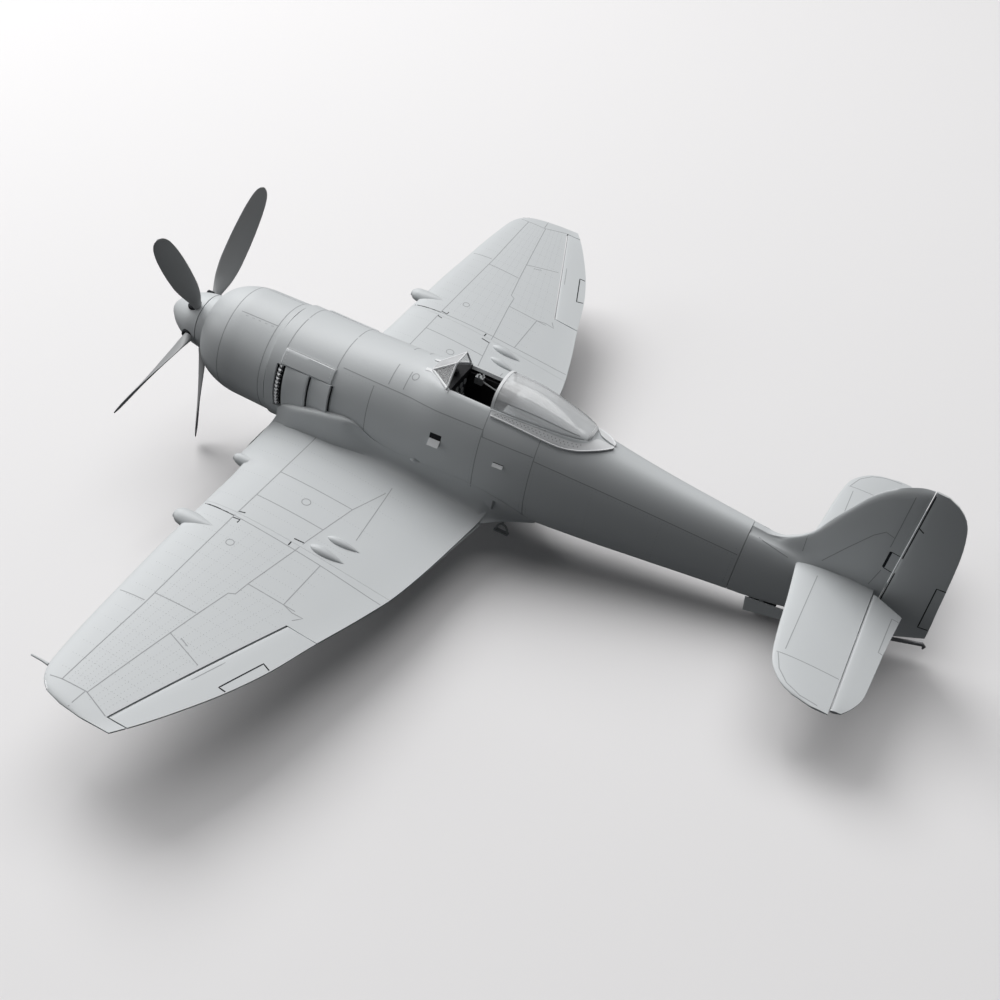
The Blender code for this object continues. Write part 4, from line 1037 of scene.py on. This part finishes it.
# name, stations, heights, and how far a sprung flap stands out along its lower edge
openings = (("foot_hole", 133.2, 138.0, 6.2, 11.4, None), ("foot_flap", 133.3, 137.9, 6.6, 9.0, 1.7),
            ("hand_slot", 160.2, 164.5, 8.0, 9.4, None), ("hand_slot_lip", 160.2, 164.5, 7.9, 9.1, 0.9))


def panelLip(y, y0, y1, rise):
    if y == y1:
        return 0.15 + rise * 0.8
    return (0.15 + rise * ((y - y0) / (y1 - y0)) ** 1.5) * (0.35 if y == y0 else 1.0)


def strakeLift(y, k):
    edge = y in (strake["stations"][0], strake["stations"][-1]) or k in (0, len(strake["heights"]) - 1)
    return 0.3 if edge else 0.62


for side, sign in sides:
    runs = [bodySpots(line, sign) for line in bodyLines["side"]]
    runs += [ringSpots(y, low, high, sign) for y, low, high in bodyLines["rings"]]
    paintedShadeAndLightStrip("body_lines_" + side, runs, "airframe")
    spots = bodySpots([(93, 18.6), (150, 18.9)], sign, 1.5) + bodySpots([(177, 14.6), (256, 7.6)], sign, 1.6)
    for y in (151.8, 173.6, 176.4, 200, 228, 256.8):
        spots += bodySpots([(y, 18.0 if y < 180 else 11.0), (y, -12.0 if y < 180 else -9.0)], sign, 1.5)
    dots("body_rivets_" + side, spots, 0.12, "grooveShade", "airframe", lift=0.03)

    # cooling panels behind the exhaust: each one stands proud at its rear edge, with a strip of painted
    # shadow just behind it
    for word, y0, y1, rise in cooling["panels"]:
        rows = steps(y0, y0 + 0.3, y1 - 0.3, y1, pitch=1)
        shape = sidePatch(rows, np.linspace(-5.6, 13.1, 20), sign, lambda y, k: panelLip(y, y0, y1, rise),
                          0.5)
        addPiece("cooling_panel_%s_%s" % (word, side), *shape, "greyPlastic", "airframe")
        shade = [bodySpot(y1 + cooling["gap"], angleAtZ(y1, z), sign) for z in np.linspace(-5.4, 12.9, 16)]
        addPiece("panel_shadow_%s_%s" % (word, side), *ribbon(shade, 0.75, 0.1), "deepShade", "airframe")
    shape = sidePatch(steps(*strake["stations"], pitch=1.4), strake["heights"], sign, strakeLift, 0.4)
    addPiece("exhaust_strake_" + side, *shape, "greyPlastic", "airframe")
    # strake rivets and the strake's top edge in the light grey: painted highlight
    spots = [sideSpot(y, z, sign) for y in (67.2, 87.4) for z in (14.2, 15.4, 16.6, 17.6)]
    spots = [(p + n * 0.6, n) for p, n in spots]
    dots("strake_rivets_" + side, spots, 0.22, "whitePlastic", "airframe", lift=0.1)
    paintedShadeAndLightStrip("strake_edge_" + side, [[(p + n * 0.3, n) for p, n in bodySpots([(66, 18.6), (88.9, 18.6)], sign)]],
          "airframe", width=0.3, finish="whitePlastic")

    # exhaust stubs in the light grey as painted highlight, in a recess lined with painted shade
    parts, mouths = [], []
    for k in range(stubs["count"]):
        z = stubs["top"] - stubs["pitch"] * k
        r = math.sqrt(stubs["skin"] ** 2 - z * z)
        parts.append(tube([(r - 3.0, 65.3, z), (r - 1.2, 65.4, z), (r - 0.2, 66.0, z), (r + 0.2, 66.9, z)],
                          [0.6, 0.62, 0.62, 0.6], 12, 7))
        mouths.append(tube([(r + 0.2, 66.88, z), (r + 0.22, 66.96, z)], [0.42, 0.42], 12))
    addHalf("exhaust_stubs_" + side, joined(*parts), sign, "whitePlastic", replaces=["exhaust_" + side])
    addHalf("stub_mouths_" + side, joined(*mouths), sign, "deepShade", "airframe")
    rows = []
    for y in (63.8, 66.4, 69.2):
        rows.append([(math.sqrt(stubs["recess"] ** 2 - z * z) - 0.6, y, z)
                     for z in np.linspace(-7.2, 13.8, 14)])
    addHalf("exhaust_recess_" + side, cellShell(np.array(rows), np.array(rows) - (0.4, 0, 0)), sign,
            "deepShade", "airframe")

    # holes are filled with painted shade; sprung flaps and lips take the light grey as painted highlight
    for word, y0, y1, z0, z1, lift in openings:
        if lift is None:
            shape = sidePatch(np.linspace(y0, y1, 4), np.linspace(z0, z1, 4), sign, lambda y, k: 0.04, 0.3)
            addPiece(word + "_" + side, *shape, "deepShade", "airframe")
            continue
        shape = sidePatch(np.linspace(y0, y1, 4), np.linspace(z0, z1, 5), sign,
                          lambda y, k: 0.1 + lift * (1 - k / 4), 0.2)
        addPiece(word + "_" + side, *shape, "whitePlastic", "airframe")
    f = np.linspace(0, 1, 12)
    base = np.array([bodySpot(126.5 + 4.6 * t, angleAtZ(128, -5.6), sign)[0] for t in f])
    swell = np.sin(np.pi * np.clip(f, 0.01, 0.99) ** 0.8)
    a = around(14)
    rings = [p + np.stack([0.9 * s * np.cos(a) * sign, np.zeros(14), 1.0 * s * np.sin(a)], -1) for p,
             s in zip(base, swell)]
    addPiece("drain_scoop_" + side, *loft(rings), "greyPlastic", "airframe", sharp=60)
paintedShadeAndLightStrip("filler_cap", [[bodySpot(119.4 + 1.3 * math.cos(k * math.pi / 12),
                               angleAtX(119.4, 8.4 + 1.3 * math.sin(k * math.pi / 12)), 1)
                      for k in range(25)]], "airframe", width=0.3)
for word, y in (("front", cowl["joint"]), ("rear", 57.4)):
    r = cowlRadius(y)
    addPiece("cowl_line_" + word, *lathe([(y - 0.17, r - 0.2), (y - 0.17, r + 0.03), (y + 0.17, r + 0.03),
                                          (y + 0.17, r - 0.2)],
                                         (0, 0, 0), (0, 1, 0), 128, ring=True), "grooveShade", "airframe")
cowlTree = treeOf("cowling")
runs = [skinSpots(cowlTree, [(9.5, 40.2), (9.5, 57.4)], s) for s in (1, -1)]
paintedShadeAndLightStrip("cowl_seams", runs, "airframe", width=0.28)
spots = []
for s in (1, -1):
    for y in (43, 46, 49, 52, 55):
        spots += skinSpots(cowlTree, [(10.4, y), (10.4, y + 0.6)], s, 1.0)
dots("cowl_fasteners", spots, 0.2, "grooveShade", "airframe", lift=0.04)
print("fuselage detail ready")

tailLines = {
    "fin": [[(305.2, 61.5), (305.4, 36)], [(286.4, 18), (292.6, 28.6), (298.5, 38.2), (301.8, 41.6),
                                           (305.2, 40.5)],
            [(278.2, 25.6), (278.8, 18.4)], [(262.6, 17.2), (275, 14.6)], [(304.6, 16.4), (306.2, 24.6)]],
    "notch": [[(306.4, 34.2), (306.4, 26.4)]],
    "notchEdge": [[(309.8, 33.6), (306.4, 34.2)], [(306.4, 26.2), (309.8, 25.4)]],
    "rudderTab": [[(330.2, 26.3), (326.0, 26.3), (327.0, 6.2), (330.6, 6.4)], [(310.9, 48.6), (313.0, 47.4)]],
    "rudderNose": [[(310.85, -5), (310.85, 26.0)], [(310.85, 33.4), (310.85, 63.2)]],
    "stabiliser": [[(7.6, 287.2), (47.4, 287.0)], [(49.8, 284.6), (49.6, 306.9)],
                   [(50, 285.2), (56.6, 287.6), (61.2, 291.6), (63.8, 297), (64.6, 303.4)]],
    "elevatorTab": [[(11.2, 319.2), (11.2, 316.6), (29.6, 316.0), (29.8, 317.6)]],
    "elevatorNose": [[(5.2, 307.95), (63.2, 307.95)]],
}
finTree = treeOf("tail_cone_and_fin")
rudderTree = treeOf("rudder_skin")
for side, sign in sides:
    dark = {"finish": "deepShade", "axis": 0}
    scribe("fin_lines_" + side, finTree, tailLines["fin"], sign, "airframe", axis=0, width=0.3)
    scribe("fin_notch_" + side, finTree, tailLines["notch"], sign, "airframe", 0.8, width=0.95, **dark)
    scribe("fin_notch_edge_" + side, finTree, tailLines["notchEdge"], sign, "airframe", 0.8, width=0.3,
           **dark)
    scribe("rudder_tab_line_" + side, rudderTree, tailLines["rudderTab"], sign, "rudder", 0.8, width=0.42,
           **dark)
    scribe("rudder_nose_shade_" + side, rudderTree, tailLines["rudderNose"], sign, "rudder", width=0.45,
           **dark)
    stabTree, elevTree = treeOf("stabiliser_" + side), treeOf("elevator_skin_" + side)
    scribe("stabiliser_lines_" + side, stabTree, tailLines["stabiliser"], sign, "airframe", width=0.3)
    scribe("elevator_tab_line_" + side, elevTree, tailLines["elevatorTab"], sign, "elevator_" + side, 0.8)
    scribe("elevator_nose_shade_" + side, elevTree, tailLines["elevatorNose"], sign, "elevator_" + side,
           width=0.26)
    v, fc = loft([[(4.6, 307.3, 13.0), (4.6, 307.42, 13.0), (4.6, 307.42, 14.2), (4.6, 307.3, 14.2)],
                  [(63.4, 307.3, 13.3), (63.4, 307.42, 13.3), (63.4, 307.42, 13.9), (63.4, 307.3, 13.9)]])
    addPiece("elevator_gap_" + side, mirrored(v, sign), fc, "deepShade", "airframe")
step = {"top": (9.2, 166.4, -22.9), "knee": (9.25, 167.0, -27.4), "arch": 2.5, "drop": 3.6,
        "plate": (6.4, 0.7, 1.8)}
x, y, z = step["knee"]
a = np.linspace(0, math.pi, 13)
bow = [(x, y - step["arch"] * math.cos(t), z - step["drop"] + step["drop"] * math.sin(t)) for t in a]
deck = [[(x + sx * step["plate"][2] / 2, y + sy * step["plate"][0] / 2, z - step["drop"] + dz)
         for sx, sy in ((-1, -1), (1, -1), (1, 1), (-1, 1))] for dz in (-step["plate"][1] - 0.2, -0.2)]
# the stirrup is the mid grey: painted shade
v, fc = joined(tube([step["top"], step["knee"]], [0.6, 0.55], 12), tube(bow, [0.45] * 13, 10), loft(deck))
addPiece("boarding_stirrup", v, fc, "midPlastic", replaces=["boarding_step"])
print("tail detail ready")

hood = {
    "half": Curve((152.5, 10.2), (161, 10.0), (170, 9.2), (176.5, 8.5), (182.7, 7.6), (187.5, 6.5),
                  (190, 5.5), (191.5, 4.2), (192.2, 2.6)),
    "high": Curve((152.5, 9), (158, 9.3), (164, 9.1), (170, 8.2), (176, 6.8), (182, 4.9), (187, 3.1),
                  (190.5, 1.9), (192.2, 1.1)),
    "base": 27.7, "thick": 0.5,
}


def hoodRow(y, inset=0.0, n=29, low=0.0):
    a = np.linspace(low, math.pi - low, n)
    w, h = hood["half"](y) - inset, hood["high"](y) - inset
    return np.stack([w * np.cos(a), np.full(n, y), hood["base"] + h * np.sin(a).clip(0) ** 0.8], -1)


ys = steps(152.5, 187.5, pitch=1.3)[:-1] + steps(187.5, 192.2, pitch=0.4)
v, fc = cellShell([hoodRow(y) for y in ys], [hoodRow(y, hood["thick"]) for y in ys])
addPiece("canopy_glass", v, fc, "clearPlastic", replaces=["canopy"])
# front and rear hood frames in the light grey: painted highlight
bars = []
for y0, y1 in ((152.55, 153.7), (190.9, 192.1)):
    yy = (y0, 0.5 * (y0 + y1), y1)
    bars.append(cellShell([hoodRow(y, -0.12) for y in yy], [hoodRow(y, 0.1) for y in yy]))
addPiece("canopy_frame", *joined(*bars), "whitePlastic", "canopy")
runs = []
for sign in (1, -1):
    spots = []
    for y in steps(154.5, 188, pitch=1.5):
        w, h = hood["half"](y), hood["high"](y)
        a = math.radians(24)
        p = np.array((w * math.cos(a) * sign, y, hood["base"] + h * math.sin(a) ** 0.8))
        spots.append((p, np.array((sign * math.cos(a), 0, math.sin(a)))))
    runs.append(spots)
    runs.append([(np.array((sign * (hood["half"](y) + 0.02), y, hood["base"] + 0.5)),
                  np.array((sign, 0, 0.1)))
                 for y in steps(153.6, 190, pitch=1.5)])
paintedShadeAndLightStrip("canopy_lines", runs, "canopy", width=0.3, finish="grooveShade", lift=0.05)

pane = {"nose": (3.2, 123.9, 27.9), "head": (4.1, 134.0, 36.5), "base": (10.1, 134.0, 27.7)}
z = 27.6
front = [(3.6, 124.0, z), (3.0, 123.8, z + 0.7), (-3.0, 123.8, z + 0.7), (-3.6, 124.0, z)]
back = [(10.1, 134.0, z), (4.1, 134.0, 36.6), (-4.1, 134.0, 36.6), (-10.1, 134.0, z)]


def splay(a, b, n):
    a, b = np.array(a, float), np.array(b, float)
    return [a + (b - a) * k / n for k in range(n + 1)]


outer = splay(front, back, 6)
inner = [r * (0.95, 1, 1) + (0, 0.25, -0.12) for r in outer]
inner = [np.minimum(r, (99, 134.0, 99)) for r in inner]
inner = [np.maximum(r, (-99, -99, z)) for r in inner]
# front pane in the clear plastic with more painted reflection, side panes with less
for name, column, finish, rest in (("windscreen_glass", 1, "frostedPlastic", {"replaces": ["windscreen"]}),
                                   ("windscreen_side_left", 0, "sidePlastic", {"body": "airframe"}),
                                   ("windscreen_side_right", 2, "sidePlastic", {"body": "airframe"})):
    addPiece(name, *cellShell(outer, inner, lambda i, j: j == column), finish, **rest)
# windscreen frame tubes in the light grey: painted highlight
parts = []
for sign in (1, -1):
    nose, head, base = ((p[0] * sign, p[1], p[2]) for p in (pane["nose"], pane["head"], pane["base"]))
    parts.append(tube([nose, head], [0.42, 0.42], 10))
    parts.append(tube([(head[0], 133.7, head[2] - 0.1), (base[0], 133.7, base[2] + 0.1)], [0.4, 0.4], 10))
    parts.append(tube([(nose[0], nose[1] + 0.1, nose[2] - 0.1), (base[0], base[1] - 0.2, base[2] + 0.02)],
                      [0.55, 0.55], 10))
parts.append(tube([(-4.1, 133.7, 36.3), (4.1, 133.7, 36.3)], [0.3, 0.3], 10))
parts.append(tube([(-3.3, 124.0, 27.9), (3.3, 124.0, 27.9)], [0.35, 0.35], 10))
addPiece("windscreen_frame", *joined(*parts), "whitePlastic", "airframe")
# apron in the light grey: painted highlight
apron = []
for sign in (1, -1):
    rowsT, rowsL = [], []
    for f in np.linspace(0, 1, 10):
        y = 121.2 + f * 13.2
        x0 = 2.9 + 7.2 * max(0.0, (y - 123.9) / 10.5)
        rowT, rowL = [], []
        for g in (0, 0.5, 1):
            x = x0 + g * (1.5 - 0.5 * f)
            p = bodyPoint(y, np.array([angleAtX(y, x)]))[0]
            p = p * (sign, 1, 1)
            rowT.append(p + (0, 0, 0.3 if g < 1 else 0.12))
            rowL.append(p - (0, 0, 0.4))
        rowsT.append(rowT)
        rowsL.append(rowL)
    apron.append(cellShell(rowsT, rowsL))
addPiece("windscreen_apron", *joined(*apron), "whitePlastic", "airframe")

strip = {"x": Curve((153.6, 10.55), (161, 10.35), (170, 9.6), (176.5, 8.9), (182.7, 8.0), (187.5, 6.9),
                    (190.5, 5.6), (192.6, 3.2), (194, 1.4), (200.5, 0.3)),
         "edge": Curve((153.6, 11.9), (159, 11.75), (165.4, 11.6), (174.3, 11.2), (182, 10.4),
                       (188.8, 8.8), (195, 6.0), (198.6, 3.4), (200.5, 1.3)), "ends": (153.6, 200.5)}
# canopy strip and rim in the light grey as painted highlight; its holes are dots of mid grey as painted shade
for side, sign in sides:
    top, low, marks, rim = [], [], [], []
    for y in steps(*strip["ends"], pitch=0.8):
        x0 = strip["x"](y)
        wide = strip["edge"](y) - x0
        rowT, rowL = [], []
        for g in (0, 0.25, 0.5, 0.75, 1.0):
            px = x0 + wide * g
            base = bodyPoint(y, np.array([angleAtX(y, px)]))[0, 2]
            rowT.append((px * sign, y, base + 0.72))
            rowL.append((px * sign, y, base + 0.1))
        top.append(rowT)
        low.append(rowL)
        marks.append((np.array(rowT[1 + len(top) % 2]), np.array((0.12 * sign, 0, 1.0))))
        rim.append((rowT[4][0], y, rowT[4][2] - 0.05))
    addPiece("canopy_strip_" + side, *cellShell(top, low), "whitePlastic",
             replaces=["canopy_rail_" + side])
    dots("strip_holes_" + side, marks[2:-14], 0.24, "midPlastic", "airframe", lift=0.04)
    addPiece("strip_rim_" + side, *tube(rim, 0.3, 8), "whitePlastic", "airframe", sharp=60)
parts = [loft([[(x, 138.0, 22.2), (x, 141.4, 22.2), (x, 141.4, 25.4), (x, 138.0, 25.4)]
               for x in (-8.3, -7.8, -6.4, -6.0)]),
         tube([(-6.6, 139.2, 25.2), (-6.2, 139.8, 27.2)], [0.3, 0.42], 8),
         tube([(-7.6, 140.4, 25.2), (-7.3, 141.0, 26.8)], [0.25, 0.38], 8)]
addPiece("throttle_box", *joined(*parts), "midPlastic", "airframe")
addPiece("throttle_rod", *tube([(-6.6, 141.2, 24.0), (-6.8, 146.0, 22.6), (-7.0, 152.5, 21.4)], 0.34, 8),
         "midPlastic", "airframe")
parts = [tube([(8.7 * s, y, 22.6), (8.7 * s, y, 6.0), (4.0 * s, y, 3.2)], 0.32, 8)
         for s in (-1, 1) for y in (137, 142, 147, 152)]
addPiece("cockpit_frames", *joined(*parts), "darkPlastic", "airframe")
parts = [lathe([(0, 0.0), (0, 1.25), (0.35, 1.25), (0.35, 1.0), (0.2, 0.9), (0.2, 0)], (x, 134.35, zz),
               (0, 1, 0), 20)
         for x, zz in ((-5, 22), (-1.8, 22), (1.8, 22), (5, 22), (-3.4, 18.4), (0, 18.4), (3.4, 18.4),
                       (-5, 14.6), (5, 14.6))]
addPiece("dial_bezels", *joined(*parts), "midPlastic", "airframe")
sight = [[(-w, y0, h), (w, y0, h), (w, y1, h), (-w, y1, h)]
         for w, y0, y1, h in ((1.2, 131.5, 133.2, 27.7), (0.9, 131.7, 133.0, 29.6))]
addPiece("gun_sight", *loft(sight), "darkPlastic", "airframe")
plate = [[(x * s, y, zz) for x, y in ((-2.6, 124.6), (2.6, 124.6), (9.6, 134.95), (-9.6, 134.95))]
         for s, zz in ((1, 27.33), (0.985, 27.55))]
lip = [[(x, y, zz) for x, zz in ((-9.6, 25.6), (9.6, 25.6), (9.6, 27.3), (-9.6, 27.3))]
       for y in (134.68, 134.95)]
addPiece("windscreen_floor", *joined(loft(plate), loft(lip)), "darkPlastic", "airframe")
print("cockpit ready")

cameraPlan = {"at": (354.06, 276.17, 324.41), "ahead": (-0.6937, -0.2264, -0.6837),
              "up": (-0.5703, -0.4071, 0.7135),
              "lens": 44.72}
cam = bpy.data.objects.new("camera", bpy.data.cameras.new("camera"))
bpy.context.scene.collection.objects.link(cam)
ahead, up = Vector(turn(cameraPlan["ahead"])).normalized(), Vector(turn(cameraPlan["up"]))
right = ahead.cross(up).normalized()
up = right.cross(ahead)
m = Matrix((right, up, -ahead)).transposed().to_4x4()
m.translation = Vector(place(cameraPlan["at"]))
cam.matrix_world = m
cam.data.sensor_width = 36
cam.data.lens = cameraPlan["lens"]
cam.data.clip_start = 0.01
bpy.context.scene.camera = cam

floorMesh = bpy.data.meshes.new("floor")
floorMesh.from_pydata([(-6, -6, -0.0001), (6, -6, -0.0001), (6, 6, -0.0001), (-6, 6, -0.0001)], [],
                      [(0, 1, 2, 3)])
floorMesh.materials.append(floorFinish("floorPaper", (0.745, 0.735, 0.738)))
floor = bpy.data.objects.new("floor", floorMesh)
bpy.context.scene.collection.objects.link(floor)
floor.visible_diffuse = False
floor.visible_glossy = False

studio = {
    "key": {"way": (-0.4, -0.7, 1.0), "far": 2.5, "size": 1.9, "power": 50, "tint": (1, 1, 1)},
    "top": {"way": (-0.28, 0.1, 1.0), "far": 2.6, "size": 2.3, "power": 30, "tint": (1, 1, 1)},
    "front": {"way": (0.3, -1.0, 0.5), "far": 1.9, "size": 1.1, "power": 7.5, "tint": (1, 1, 1)},
}
for name, plan in studio.items():
    light = bpy.data.objects.new(name, bpy.data.lights.new(name, "AREA"))
    bpy.context.scene.collection.objects.link(light)
    light.data.shape = "DISK"
    light.data.size = plan["size"]
    light.data.energy = plan["power"]
    light.data.color = plan["tint"]
    way = Vector(plan["way"]).normalized()
    light.location = way * plan["far"]
    light.rotation_mode = "QUATERNION"
    light.rotation_quaternion = way.to_track_quat("Z", "Y")
world = bpy.data.worlds.new("studioFill")
world.use_nodes = True
world.node_tree.nodes["Background"].inputs["Color"].default_value = (0.93, 0.96, 1.0, 1)
world.node_tree.nodes["Background"].inputs["Strength"].default_value = 0.07
bpy.context.scene.world = world
bpy.context.scene.view_settings.view_transform = "Standard"
print("stage ready")

carried = {
    "engine": "hookMetal", "exhaust_left": "midPlastic", "exhaust_right": "midPlastic",
    "canopy": "clearPlastic",
    "windscreen": "clearPlastic", "cockpit_tub": "darkPlastic", "instrument_panel": "darkPlastic",
    "seat": "midPlastic",
    "headrest": "darkPlastic", "control_stick": "darkPlastic", "arrestor_hook": "hookMetal",
}
for name, obj in nodes.items():
    if obj.hide_render:
        continue
    obj.data.materials.clear()
    kind = carried.get(name, "rubber" if "tyre" in name or name == "tail_wheel" else "greyPlastic")
    obj.data.materials.append(finishes[kind])
